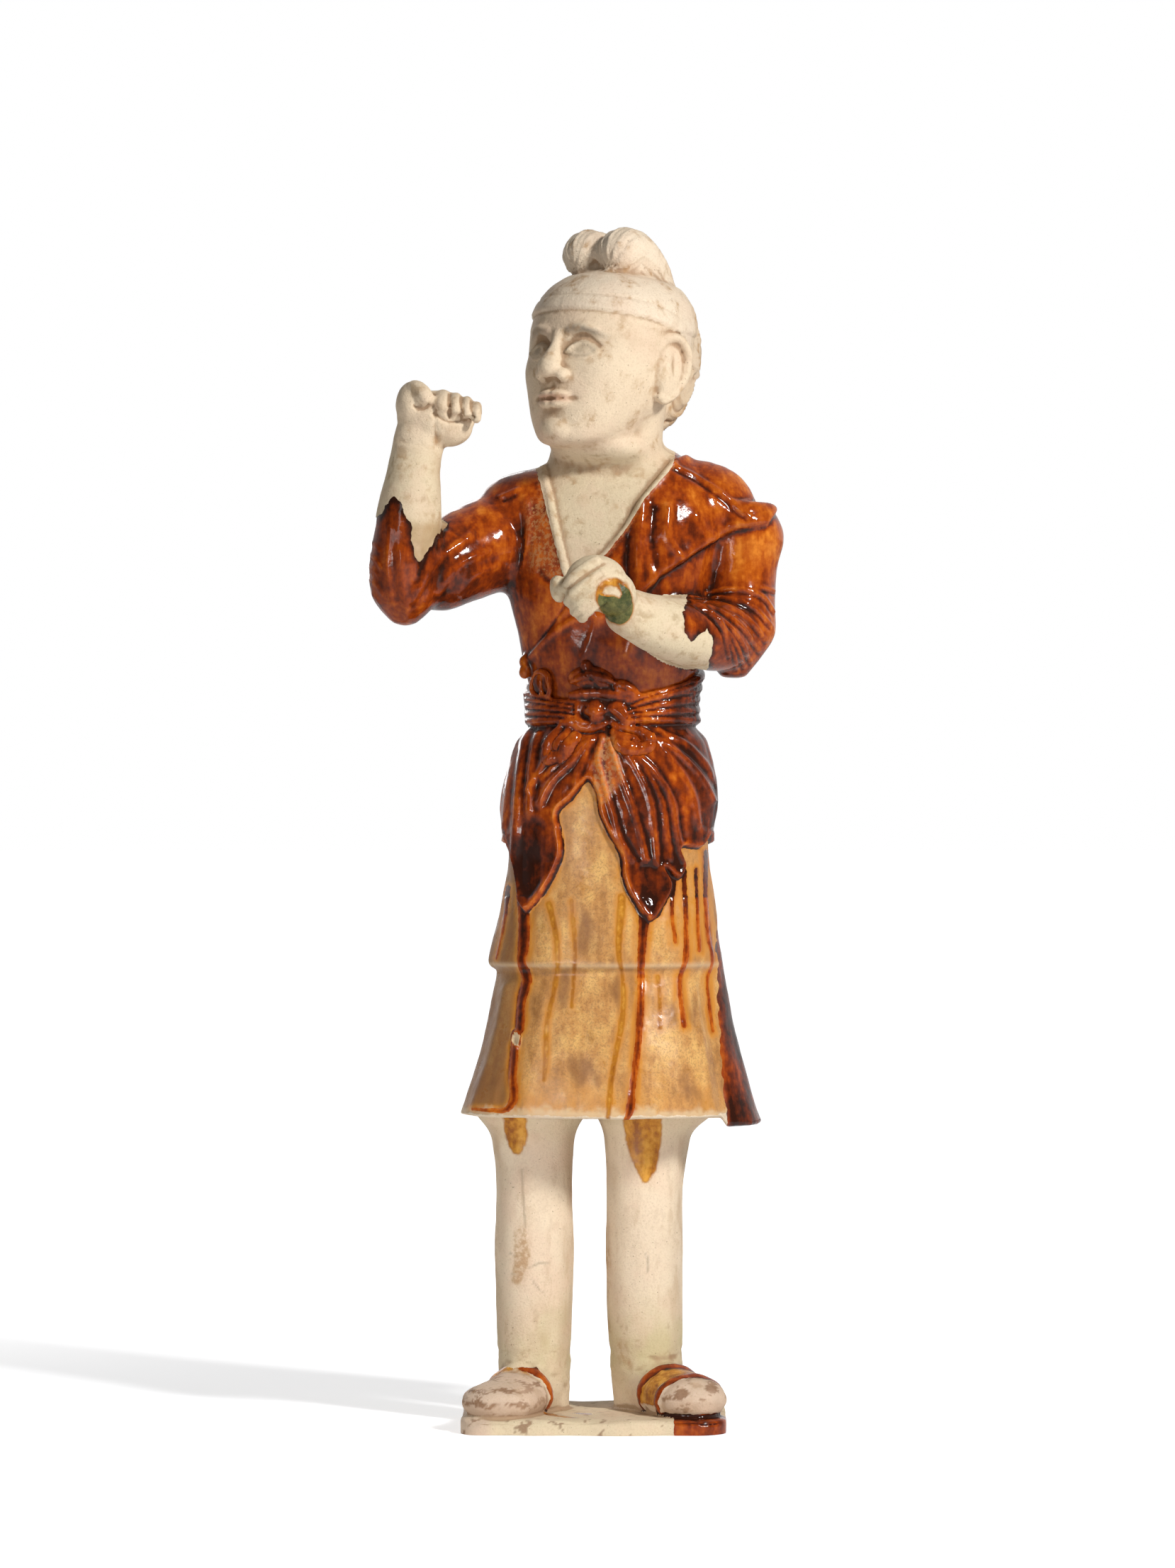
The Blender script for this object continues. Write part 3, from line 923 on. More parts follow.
trunk_clay = bmesh.new()
trunk = [(8.5, 0, 402, 45, 32), (8.5, 0, 412, 46, 33), (8.5, 0, 426, 49.5, 35.5), (8.3, 0, 438, 52, 38),
         (8, 0, 455, 55, 40), (7, 0, 471, 58, 42), (7, 1, 492, 62, 43), (8, 2, 512, 66, 41),
         (9, 3, 528, 66, 37), (11, 4, 541, 56, 33), (12, 5, 552, 44, 28), (12, 5, 560, 34, 22)]
shoulders = [(-70, 3, 507, 22, 26), (-52, 4, 515, 25, 30), (-25, 4, 522, 28, 30), (10, 4, 526, 30, 31),
             (40, 3, 525, 28, 30), (66, 1, 521, 26.5, 29), (88, 0, 511, 22, 25)]
collar = [(16, 10, 534, 50, 26), (16, 9, 546, 42, 23), (17, 8, 555, 34, 20), (17, 8, 562, 26, 15)]
right_upper = [(-40, 4, 513, 28, 30), (-66, -4, 504, 26, 28), (-86, -17, 494, 25, 26),
               (-101, -27, 484, 22, 23), (-111, -33, 476, 19, 20)]
right_lower = [(-112, -34, 457, 6, 6), (-111.5, -35, 470, 17.5, 17), (-111.5, -37, 489, 21, 21),
               (-109.6, -40, 512, 20, 20), (-107.6, -43, 533, 17.6, 17.5), (-105, -45, 553, 15, 14),
               (-102.5, -46, 566, 15, 12.5), (-100, -47, 576, 14, 12)]
left_upper = [(80, 1, 528, 22, 24), (84.5, 2, 511, 25, 25), (83.5, 1, 492, 21.8, 23),
              (82.5, -3, 470, 21.5, 22.5), (82, -7, 452, 21.5, 21), (80, -8, 437, 14, 14),
              (79, -8, 427, 7, 7)]
left_lower = [(84, -8, 452, 20, 20), (66, -28, 451.5, 21, 20.5), (47, -48, 454, 18.5, 19),
              (30, -64, 458.5, 15, 16.5), (17, -74, 464, 12.5, 14.5), (6, -80, 470, 12.5, 15)]
neck = [(4, 5, 530, 40, 28), (5, 4, 545, 37, 28), (5, 2, 556, 34, 28.5), (6, -1, 570, 32.5, 29),
        (8, -4, 590, 32, 32), (9, -4, 606, 30, 32)]
roll(trunk_clay, trunk, side=turned(BODY_TURN), level=True, round_ends=False, square=BOXY)
roll(trunk_clay, shoulders, side=(0, 1, 0))
roll(trunk_clay, collar, side=turned(BODY_TURN), level=True, round_ends=False)
roll(trunk_clay, right_upper, side=(0, 1, 0))
roll(trunk_clay, right_lower, round_ends=False)
roll(trunk_clay, left_upper, level=True, round_ends=False)
roll(trunk_clay, left_lower, side=(0.7, -0.7, 0))
roll(trunk_clay, neck, side=turned(HEAD_TURN / 2), level=True, round_ends=False)


def from_head(points):
    """Points given as (to the figure's left, up from the chin, forward) in the head's own directions."""
    across, up, ahead = np.array(points, float).T
    tilt, turn = math.radians(HEAD_TILT), math.radians(HEAD_TURN)
    mid = HEAD_HEIGHT / 2
    tilted_up = mid + (up - mid) * math.cos(tilt) + ahead * math.sin(tilt)
    tilted_ahead = ahead * math.cos(tilt) - (up - mid) * math.sin(tilt)
    x = HEAD_SEAT[0] + across * math.cos(turn) + tilted_ahead * math.sin(turn)
    y = HEAD_SEAT[1] + across * math.sin(turn) - tilted_ahead * math.cos(turn)
    return np.stack([x, y, HEAD_SEAT[2] + tilted_up], axis=1)


def on_head(points):
    """The same directions for points in place: across, up and forward."""
    tilt, turn = math.radians(HEAD_TILT), math.radians(HEAD_TURN)
    mid = HEAD_HEIGHT / 2
    x, y = points[:, 0] - HEAD_SEAT[0], points[:, 1] - HEAD_SEAT[1]
    level_ahead = x * math.sin(turn) - y * math.cos(turn)
    level_up = points[:, 2] - HEAD_SEAT[2] - mid
    across = x * math.cos(turn) + y * math.sin(turn)
    up = mid + level_up * math.cos(tilt) - level_ahead * math.sin(tilt)
    return across, up, level_ahead * math.cos(tilt) + level_up * math.sin(tilt)


def head_roll(clay, stations, **shape):
    """A roll whose stations are given in the head's own directions."""
    rows = np.array(stations, float)
    roll(clay, np.hstack([from_head(rows[:, :3]), rows[:, 3:]]), **shape)


def head_lump(clay, centre, size):
    """A lump in the head's own directions: its half sizes are across, up and forward."""
    lump(clay, centre, size, carried=lambda local: in_place(from_head(local)))


facing_side = turned(HEAD_TURN)
skull = [(0, 0, 30, 8, 7), (0, 4, 24, 19, 19), (0, 12, 15, 28, 30), (0, 24, 8, 35, 39), (0, 40, 4, 40, 44),
         (0, 58, 0, 43, 48), (0, 76, -2, 43, 49), (0, 91, -3, 38, 45), (0, 102, -4, 28, 34),
         (0, 108, -4, 15, 19), (0, 110, -4, 6, 7)]
head_roll(trunk_clay, skull, side=facing_side, level=True, round_ends=False, square=2.1)
for hand in (-1, 1):
    lobe = [(10, 86, -36, 12, 10), (12, 103, -27, 14.5, 12), (13, 116, -12, 15, 14), (13, 120, 3, 15, 14.5),
            (12.5, 108, 15, 15, 13)]
    head_roll(trunk_clay, [(across * hand - 3, *rest) for across, *rest in lobe], side=facing_side)
head_lump(trunk_clay, (0, 4, -2), (31, 13, 30))
head_lump(trunk_clay, (-3, 106, -6), (26, 12, 20))
hair_mass = [(0, 18, -30, 22, 12), (0, 34, -37, 29, 14), (0, 56, -42, 32, 15), (0, 78, -42, 30, 14),
             (0, 96, -37, 26, 13), (0, 108, -26, 20, 12)]
head_roll(trunk_clay, hair_mass, side=facing_side)
trunk_mesh = pressed(trunk_clay, MASS_GRAIN, 7, "trunk_masses")

detail_clay = bmesh.new()
lump(detail_clay, (-93, -48, 577), (23, 13, 15.5))
lump(detail_clay, (-86, -47, 571), (14, 11, 11))
lump(detail_clay, (-106, -48, 584), (10.5, 12, 14))
raised_thumb = [(-108, -48, 593, 5.5, 5.5), (-103, -56, 592, 5.2, 5.2), (-99, -60, 588, 4.6, 4.6),
                (-98, -60, 583, 4, 4)]
roll(detail_clay, raised_thumb, side=(0, 0, 1), grid=(18, 26))
for place, top, half in ((-89.2, 592, 4.0), (-81.6, 590.5, 3.5), (-75.2, 588.5, 3.2), (-69.6, 585.5, 3.0)):
    bends = ((-38, -8, half), (-44, -3.5, half), (-54, -3.5, 3.6), (-61, -8, 3.6), (-61, -13, 3.3))
    roll(detail_clay, [(place, y, top + down, half, deep) for y, down, deep in bends], grid=(18, 26))
lump(detail_clay, (-1, -86, 480), (18, 13.5, 16.2))
lump(detail_clay, (9, -84, 474), (13, 12, 13))
held_fingers = (
    [(2, -95, 494, 3.4, 3), (-7, -98, 488, 3.7, 3.4), (-16, -96, 480, 3.7, 3.6), (-18, -88, 475, 3.4, 3.4)],
    [(4, -97, 487, 3.4, 3), (-5, -100, 480.5, 3.7, 3.4), (-14.5, -97, 472.5, 3.7, 3.6),
     (-16, -89, 468, 3.4, 3.4)],
    [(5, -97, 480, 3.2, 3), (-3, -99.5, 474, 3.5, 3.4), (-11.5, -96.5, 466.5, 3.5, 3.5),
     (-13, -89, 462.5, 3.2, 3.2)],
    [(6, -96, 473, 3, 3), (-1, -97.5, 468, 3.3, 3.2), (-8, -95, 462, 3.3, 3.3), (-9, -88, 459, 3, 3)],
)
for finger in held_fingers:
    roll(detail_clay, finger, side=(0, 0, 1), grid=(18, 26))
lump(detail_clay, (-22.5, -86, 477), (4.8, 5, 7.6))
ear_rim = [(39, 58, 4), (42.5, 67, 0), (45.5, 69, -8), (47, 62, -16), (46, 49, -17), (43.5, 37, -11),
           (41, 32, -4), (40, 36, 1)]
ear_fold = [(41, 62, -6, 1.6, 2), (42.5, 60, -11, 1.6, 2), (42.5, 50, -11, 1.6, 2), (41.5, 43, -6, 1.4, 1.6)]
brow = [(5, 64.5, 45.5, 3, 3), (16, 67, 43, 3.4, 3.4), (28, 62, 33, 3, 3)]
upper_lip = [(0, 28.7, 49.8, 2, 2.6), (7, 28.2, 47.8, 2, 2.4), (13, 26, 43.5, 1.2, 1.4)]
lower_lip = [(0, 22.6, 49, 2.8, 2.8), (6, 23.3, 47.5, 2.5, 2.5), (12, 25.2, 43.5, 1.2, 1.4)]
for hand in (-1, 1):
    head_lump(detail_clay, (42 * hand, 50, -6), (5, 17, 10))
    head_lump(detail_clay, (6.8 * hand, 39.5, 48.5), (4.4, 4.0, 5.5))
    for line, grid in (([(*place, 2.7, 3.0) for place in ear_rim], (14, 44)), (ear_fold, (12, 26)),
                       (brow, (16, 26)), (upper_lip, (16, 26)), (lower_lip, (16, 26))):
        head_roll(detail_clay, [(across * hand, *rest) for across, *rest in line], side=(0, 0, 1), grid=grid)
bridge = [(0, 67, 44.5, 4.6, 4), (0, 57, 46.5, 4.8, 5), (0, 48, 50, 5.8, 6.3), (0, 41.5, 52.5, 7.4, 6.6),
          (0, 38, 50.5, 5.6, 4.6)]
head_roll(detail_clay, bridge, side=facing_side, grid=(18, 26))
head_lump(detail_clay, (0, 9, 39), (12, 9, 9))
cap = [(0, 73, -3, 44.4, 50.6), (0, 82, -3.5, 42.8, 49.4), (0, 92, -4, 38.6, 45.4), (0, 102, -4, 29, 35),
       (0, 109, -4, 15, 19), (0, 111, -4, 6, 7)]
head_roll(detail_clay, cap, side=facing_side, level=True, round_ends=False, square=2.1, grid=(48, 30))
lump(detail_clay, (-42, -11, 437), (4, 4, 4))
lump(detail_clay, (-42.5, -13, 431), (3.4, 3.4, 4.5))
body_mesh = pressed(detail_clay, TRUNK_GRAIN, 2, "body", add=trunk_mesh)

BARE_CHEST = [(-32, 556), (-27, 535), (-24, 519), (-21, 505), (-16, 485), (3, 499), (15, 514), (25, 531),
              (42, 551), (46, 570), (-34, 570)]
CHEST_DRAPE = [(4, 499), (10, 482), (19, 474), (26, 474), (38, 486), (48, 493), (58, 500), (68, 507),
               (82, 513), (98, 515), (106, 526), (100, 548), (60, 562), (42, 553), (25, 532), (15, 515)]
CHEST_FOLDS = (
    ([(26, 526), (23, 502), (24, 474)], 3.2, 2.4),
    ([(40, 524), (40, 508), (47, 496)], 3.0, 2.2),
    ([(33, 524), (32, 500), (35, 486)], 2.6, -1.4),
    ([(17, 508), (16, 494), (17, 482)], 2.2, -1.0),
    ([(56, 520), (60, 512), (66, 508)], 3.0, 0.9),
    ([(-42, 531), (-40, 515), (-45, 494)], 2.4, 1.2),
    ([(-50, 520), (-52, 505), (-48, 490)], 2.4, 1.0),
    ([(-58, 512), (-60, 498), (-52, 486)], 2.2, -1.0),
    ([(-34, 488), (-30, 484), (-20, 482)], 2.0, -0.8),
    ([(-9, 463), (-18, 458), (-28, 451), (-39, 440)], 1.8, 1.3),
    ([(-18, 470), (-30, 453), (-41, 440)], 0.7, -0.6),
    ([(24, 470), (22, 455), (18, 440)], 2.6, 0.9),
    ([(0, 462), (-4, 448), (-8, 438)], 2.6, 0.7),
    ([(42, 549), (64, 538), (87, 521)], 1.1, 1.0),
    ([(43, 546), (64, 534.5), (86, 518)], 1.0, -0.7),
    ([(-46, 537), (-60, 531), (-76, 525), (-86, 520)], 1.3, 1.0),
    ([(-48, 533), (-62, 527), (-80, 520)], 1.2, -0.7),
)
ELBOW_FOLDS = (
    [(50, 473), (73, 474), (91, 468), (101, 458)],
    [(53, 473), (70, 471), (86, 463), (98, 449)],
    [(55, 471), (69, 467), (84, 456), (94, 443)],
    [(58, 469), (69, 463), (81, 451), (89, 437)],
    [(61, 467), (71, 459), (80, 447), (85, 434)],
    [(65, 464), (73, 455), (78, 444), (81, 433)],
    [(70, 460), (74, 450), (76, 440)],
    [(60, 476), (80, 479), (97, 474), (103, 466)],
    [(96, 480), (101, 479), (105, 478)],
)
RAISED_FOLDS = (
    ([(-74, 509), (-92, 495), (-107, 472)], 2.6, 1.5),
    ([(-64, 500), (-80, 492), (-92, 476)], 2.2, 1.2),
    ([(-58, 492), (-70, 487), (-80, 476)], 2.2, 1.0),
    ([(-88, 514), (-98, 500), (-103, 482)], 2.0, -1.0),
    ([(-113, 500), (-112, 480), (-109, 462)], 2.6, 1.2),
    ([(-120, 512), (-121, 490), (-119, 470)], 2.0, 0.7),
    ([(-134, 507), (-129, 504), (-126, 500)], 1.1, 0.5),
    ([(-134, 499), (-129, 496), (-125, 490)], 1.1, 0.6),
    ([(-134, 493), (-130, 490), (-127, 486)], 1.0, 0.45),
    ([(-134, 485), (-129, 482), (-124, 475)], 1.2, 0.6),
    ([(-134, 477), (-129, 474), (-126, 470)], 1.1, 0.5),
)
BACK_FOLDS = (
    ([(10, 540), (12, 500), (10, 440)], 2.2, -0.9),
    ([(-50, 520), (-30, 490), (-12, 450)], 3.4, 1.1),
    ([(-62, 506), (-44, 476), (-24, 446)], 3.2, 1.0),
    ([(66, 516), (48, 486), (32, 448)], 3.4, 1.1),
    ([(54, 530), (34, 496), (22, 456)], 3.2, 0.9),
    ([(-34, 532), (-18, 500), (-4, 460)], 3.0, 0.8),
    ([(-30, 428), (10, 434), (44, 430)], 2.4, 0.8),
)
PALM_LINES = (
    ([(-65, 579), (-76, 574.5), (-87, 574), (-94, 578)], 1.1, -1.5),
    ([(-93, 580), (-93.5, 572), (-92.5, 562)], 1.2, -0.9),
    ([(-106, 583), (-101, 580.5), (-97, 583)], 0.9, -1.2),
    ([(-114, 563), (-103, 560.5), (-92, 560)], 1.4, -0.6),
)
FACE_SWELLINGS = (  # to the side, up from the chin, half width, half height, and how far it swells
    (16, 68, 11, 3.0, 0.9),
    (16, 58, 11, 6.2, -3.4),
    (27, 44, 10, 9, 1.5),
    (0, 9, 10, 6, 1.4),
    (0, 17.5, 9, 2.8, -0.8),
    (13.8, 26, 2.4, 2.2, -1.0),
    (0, 33, 1.8, 3, -0.8),
    (4.2, 36.4, 1.8, 1.3, -1.5),
)
FACE_LINES = (  # the lids, the crease above them and the line between the lips
    ([(7.6, 53.8), (11, 57.4), (16, 59.2), (20.5, 57.8), (24, 54.6)], 1.2, 1.9),
    ([(8, 53.2), (12, 51.1), (16.5, 50.4), (21, 51.6), (24, 54.2)], 1.1, 1.3),
    ([(7, 58.6), (11, 61.2), (16, 62.6), (21.5, 61.2), (25.5, 57.5)], 1.0, -1.2),
    ([(0, 25.6), (6, 25.4), (12.5, 26.2)], 1.0, -1.1),
)

points, normals = surface(body_mesh)
flat = points[:, [0, 2]]
height = points[:, 2]
facing = ramp(-normals[:, 1], -0.05, 0.35)
behind = ramp(normals[:, 1], 0.0, 0.4)
right_axis = [row[:3] for row in right_upper]
forearm_axis = [row[:3] for row in left_lower]
raised_axis = [row[:3] for row in right_lower]
on_right_arm = (distance(points, right_axis[1:]) < 31) | (distance(points, raised_axis) < 26)
on_forearm = distance(points, forearm_axis) < 23.5
on_left_arm = (distance(points, [row[:3] for row in left_upper]) < 27) | on_forearm
chest = facing * (height > 424) * (height < 566) * ~on_right_arm * ~((points[:, 1] < -46) | on_forearm)
into_bare = inside(flat, BARE_CHEST)
lift = -2.0 * chest * ramp(into_bare, -0.8, 1.4) * (1 - ramp(height, 536, 564))
lift += chest * (0.9 * near(into_bare, -2.2, 1.1) + 0.6 * near(into_bare, -0.4, 0.6)) * (height < 556)
drape = facing * (height > 470) * (height < 556) * (points[:, 1] > -60) * (points[:, 0] > 0) * ~on_forearm
into_drape = inside(flat, CHEST_DRAPE)
fade_in = ramp(points[:, 0], 8, 40)
lift += drape * fade_in * (3.4 * ramp(into_drape, -0.7, 2.4) + 0.8 * near(into_drape, 4, 3.0))
lift += chest * ridges(flat, CHEST_FOLDS)
elbow = facing * on_left_arm * (height > 428) * (height < 484) * (points[:, 0] > 46)
for line in ELBOW_FOLDS:
    below = [(x - 0.6, z - 2.4) for x, z in line]
    lift += elbow * (ridge(flat, line, 1.1, 1.0) - ridge(flat, below, 1.0, 0.6))
raised = facing * on_right_arm * (height < 530) * (points[:, 0] < -52)
lift += raised * ridges(flat, RAISED_FOLDS)
lift += behind * (height < 545) * ridges(flat, BACK_FOLDS)
lift += behind * (0.9 * near(height, 549, 2.0) - 0.7 * near(height, 544, 1.2))
knuckles = facing * (points[:, 1] < -86) * (height < 497) * (height > 455)
for high in (491, 484, 477, 470.5):
    lift += knuckles * ridge(flat, [(4, high), (-6, high - 6.4), (-17, high - 14.5)], 1.0, -0.9)
gaps = facing * (points[:, 1] < -50) * (height > 572) * (height < 591)
for place in (-85.2, -78.3, -72.3):
    lift += gaps * ridge(flat, [(place, 591), (place, 583), (place + 0.3, 576)], 0.9, -1.6)
palm = facing * (points[:, 0] < -60) * (height > 548) * (height < 600)
lift += palm * ridges(flat, PALM_LINES)

across, up, ahead = on_head(points)
aside = np.abs(across)
on_neck_or_head = ramp(height, 556, 566)
half_face = np.stack([aside, up], axis=1)
eye_round = ((aside - 15.8) / 7.8) ** 2 + ((up - 55) / 4.0) ** 2
face_lift = ridges(half_face, FACE_LINES) + 2.4 * np.sqrt(np.clip(1 - eye_round, 0, 1))
for side, high, wide, tall, swelling in FACE_SWELLINGS:
    face_lift += swelling * near(aside, side, wide) * near(up, high, tall)
lift += face_lift * ramp(ahead, 12, 24) * on_neck_or_head
ear_side = ramp(aside, 41, 44) * (height > 575)
lift -= ear_side * 2.6 * near(up, 53, 8) * near(ahead, -6, 3.2)


def above_cloth_edge(up, ahead):
    """How far a point of the head lies above the lower edge of the head cloth, which dips behind."""
    return up - (76 + 0.06 * ahead - 0.0042 * np.clip(20 - ahead, 0, 70) ** 2)


above_edge = above_cloth_edge(up, ahead)
below_knot = 1 - ramp(up, 100, 106)
lift += 2.0 * ramp(above_edge, -1.0, 1.1) * below_knot * ramp(up, 44, 50)
lift -= 0.6 * near(above_edge, 9, 1.0) * below_knot * ramp(ahead, -20, -6)
back_hair = ramp(-ahead, 26, 34) * ramp(up, 10, 20) * (1 - ramp(up, 84, 98))
comb = across * 1.35 + 1.3 * np.sin(up / 8) + 0.7 * np.sin(across / 5)
lift += back_hair * (0.95 * np.cos(comb) + 0.4 * np.cos(2.3 * comb + 1))
lobe_ramp = ramp(up, 101, 106)
in_head = np.stack([across, up, ahead], axis=1)
strands_wave = 0.5 * uneven(points, 7, 13)
for hand in (-1, 1):
    axis = curved([(a * hand - 3, b, c) for a, b, c, *_ in lobe], 2.0)
    nearest = np.zeros(len(points), int)
    best = np.full(len(points), 1e9)
    for index, centre in enumerate(axis[:, :3]):
        apart = np.linalg.norm(in_head - centre, axis=1)
        nearest = np.where(apart < best, index, nearest)
        best = np.minimum(apart, best)
    off = in_head - axis[nearest, :3]
    outward = axis[nearest, 1:3] - (98, -10)
    outward /= np.linalg.norm(outward, axis=1)[:, None]
    angle = np.arctan2(off[:, 0], (off[:, 1:] * outward).sum(axis=1))
    mine = (best < 21) & ((across + 3) * hand > 0)
    lift += mine * lobe_ramp * (0.5 + strands_wave) * (
        0.5 * np.cos(angle * 11 + 2 * strands_wave) + 0.35 * np.cos(angle * 25 + 3 * strands_wave))
lift += 0.3 * uneven(points, 13, 11) * (1 - 0.7 * on_neck_or_head) + 0.1 * uneven(points, 4, 12)
moved(body_mesh, normals * lift[:, None])
body_mesh = thinned(body_mesh, "body_thin")

RAISED_GLAZE = [(-126, 520), (-124, 522), (-120, 529), (-117, 530), (-113, 527), (-111, 522), (-107, 512),
                (-106, 500), (-103, 493), (-99, 498), (-94, 506), (-90, 512), (-86, 519), (-60, 560),
                (-60, 640), (-150, 640), (-150, 520)]
HELD_GLAZE = [(52, 476), (49, 462), (49, 452), (53, 448), (58, 450), (63, 455), (67, 447), (65, 439),
              (64, 434), (62, 424), (-60, 424), (-60, 520), (40, 500)]
GREEN_RING = curved([(-1, 470), (0, 477), (5, 481.5), (11.5, 482), (17, 477.5), (19.8, 469), (18.6, 461),
                     (14, 456.8), (8, 458), (2.5, 464), (-1, 470)], 1.0)[:-1]
GREEN_BARE = curved([(2.5, 474), (4, 477.2), (8, 478.6), (12, 476.6), (14, 473), (12.4, 470.6), (9.4, 472),
                     (6.4, 472.6), (2.5, 474)], 1.0)[:-1]
FIST_STAINS = ([(-108, 588), (-102, 588), (-101, 594), (-107, 595)],
               [(-116, 553), (-110, 552), (-109, 560), (-115, 561)])
UNGLAZED_CHEST = [(-38, 557), (-32, 535), (-28.5, 519), (-25, 505), (-19, 482), (5, 498), (17, 513.5),
                  (27, 530), (44, 550), (48, 572), (-40, 572)]
WORN_CHEST = [(-42, 530), (-30, 535), (-23, 510), (-16, 486), (-26, 484), (-40, 490)]

points, normals = surface(body_mesh)
flat = points[:, [0, 2]]
height = points[:, 2]
front_side = points[:, 1] < 3
across, up, ahead = on_head(points)
aside = np.abs(across)
ragged = uneven(points, 6, 31) + 0.6 * uneven(points, 2.4, 32)
to_neck = np.where(front_side, -inside(flat, UNGLAZED_CHEST), 556 - height)
to_neck = np.where(height > 566, -15, to_neck)
on_right_arm = (distance(points, raised_axis) < 25) & (points[:, 0] < -86)
up_sleeve = np.where(-normals[:, 1] > -0.2, -inside(flat, RAISED_GLAZE), 524 - height) + 1.4 * ragged
held_fist = distance(points, [(-24, -86, 478), (10, -86, 478)]) < 24
on_forearm = (distance(points, forearm_axis) < 23.5) | held_fist
down_sleeve = np.where(on_forearm, -inside(flat, HELD_GLAZE) + 1.6 * ragged, 15)
brown = np.minimum(to_neck + 0.3 * ragged, np.where(on_right_arm & (height > 485), up_sleeve, 15))
brown = np.minimum(brown, down_sleeve)
brown = np.where((height > 566) | ((height > 540) & (points[:, 0] < -70)), -15, brown)
ring = np.minimum(inside(flat, GREEN_RING), -inside(flat, GREEN_BARE) + 0.4 * ragged)
on_held_hand = (points[:, 1] < -62) & (normals[:, 1] < 0.1)
amber_rim = 1.7 * ramp(height - 0.5 * points[:, 0], 466, 474)
green = np.where(on_held_hand, ring - amber_rim, NO_GLAZE)
ochre = np.where(on_held_hand, ring + 0.3, NO_GLAZE)
worn = ramp(inside(flat, WORN_CHEST) + 2 * ragged, -2, 4) * front_side * ~on_forearm
worn = np.maximum(worn, 0.7 * near(to_neck, 0, 1.5) * (height < 556))
borders = np.minimum(np.abs(up_sleeve) + 40 * ~on_right_arm, np.abs(down_sleeve) + 40 * ~on_forearm)
pool = 0.5 * near(borders, 0, 2.5) - 0.06 + 0.10 * ramp(-height, -470, -430) + 0.16 * (points[:, 0] < -70)
in_cloth = ramp(above_cloth_edge(up, ahead), -0.8, 0.2) * ramp(up, 44, 50) * (height > 590)
back_hair = ramp(-ahead, 26, 34) * (height > 570)
fist_stains = np.maximum.reduce([inside(flat, outline) for outline in FIST_STAINS])
arm_dirt = ramp(uneven(points, 6, 35) + 0.6 * uneven(points, 2, 36), 0.25, 0.8) * (height < 556)
under_ring = np.hypot(flat[:, 0] - 12, flat[:, 1] - 462) / 12
ring_shade = (1 - ramp(under_ring + 0.2 * ragged, 0.5, 1.1)) * (points[:, 1] < -60)
brow_mask = np.exp(-(((aside - 16) / 11) ** 4)) * near(up + 0.02 * (aside - 14) ** 2, 66.5, 2.0)
lip_mask = np.exp(-((across / 12) ** 4)) * near(up, 25.8, 2.2)
eye_round = ((aside - 15.8) / 8.0) ** 2 + ((up - 55) / 4.2) ** 2
eye_paint = 0.14 * (1 - ramp(eye_round, 0.8, 1.1)) + 0.6 * near(eye_round, 1.15, 0.3)
iris = np.exp(-((np.hypot(aside - 15.8, up - 55.2) / 3.1) ** 4))
on_face = (ahead > 25) * (height > 590)
clay = np.tile(np.array(HEAD_CLAY), (len(points), 1))
for colour, share in (
    (CHEST_CREAM, 1 - ramp(height, 548, 566)),
    (CLOTH_BUFF, 0.55 * in_cloth),
    (HAIR_BROWN, 0.5 * back_hair),
    (CHEST_CREAM, 0.5 * on_right_arm * (1 - ramp(height, 520, 560))),
    (SLEEVE_RIM, 0.8 * on_right_arm * (1 - ramp(height + 2 * ragged, 512, 521))),
    (HAND_DIRT, 0.6 * np.maximum(arm_dirt, ramp(fist_stains + ragged, -0.5, 1))),
    (RING_SHADE, 0.45 * ring_shade),
    (BROW_GREY, 0.75 * brow_mask * on_face),
    (LIP_RED, 0.55 * lip_mask * (ahead > 35) * (height > 575)),
    (EYE_BROWN, (eye_paint + 0.5 * iris) * on_face),
):
    clay = blend(clay, colour, share)
blotch = ramp(uneven(points, 10, 33) + 0.7 * uneven(points, 3, 34), 0.12, 0.8)
stain = blotch * (0.6 + 0.2 * in_cloth + 0.3 * back_hair) * (brown < 0)
marked(body_mesh, clay=clay, brown=brown, ochre=ochre, green=green, worn=worn, pool=pool, stain=stain,
       hollow=hollows(body_mesh, 14, 0.9))
set_on_figure(bpy.data.objects.new("trunk_arms_and_head", body_mesh))

# The studio
# A plain pale table, one fairly hard light from the upper right and soft fill all round.

FLOOR_WHITE = (0.93, 0.93, 0.94, 1)
SOFT_LIGHT = 0.13  # how bright the white room is to everything but the camera and mirror rays
table = bmesh.new()
bmesh.ops.create_grid(table, x_segments=4, y_segments=4, size=30)
floor_mesh = bpy.data.meshes.new("floor")
table.to_mesh(floor_mesh)
table.free()
floor = bpy.data.objects.new("floor", floor_mesh)
floor_paint = bpy.data.materials.new("pale_floor")
floor_paint.use_nodes = True
floor_shader = floor_paint.node_tree.nodes["Principled BSDF"]
floor_shader.inputs["Base Color"].default_value = FLOOR_WHITE
floor_shader.inputs["Roughness"].default_value = 0.8
floor_shader.inputs["Emission Color"].default_value = (1, 1, 1, 1)
paper = floor_paint.node_tree
floor_place = shader_node(paper, "ShaderNodeTexCoord").outputs["Object"]
how_far = shader_node(paper, "ShaderNodeVectorMath", {0: floor_place}, operation="LENGTH")
seen = shader_node(paper, "ShaderNodeLightPath").outputs["Is Camera Ray"]
lit_far = {"Value": how_far.outputs["Value"], "From Min": 0.3, "From Max": 1.5, "To Min": 0.52, "To Max": 1.0}
white = shader_node(paper, "ShaderNodeMapRange", lit_far, interpolation_type="SMOOTHSTEP").outputs["Result"]
glow = shader_node(paper, "ShaderNodeMix", {0: seen, 2: SOFT_LIGHT, 3: white}, data_type="FLOAT").outputs[0]
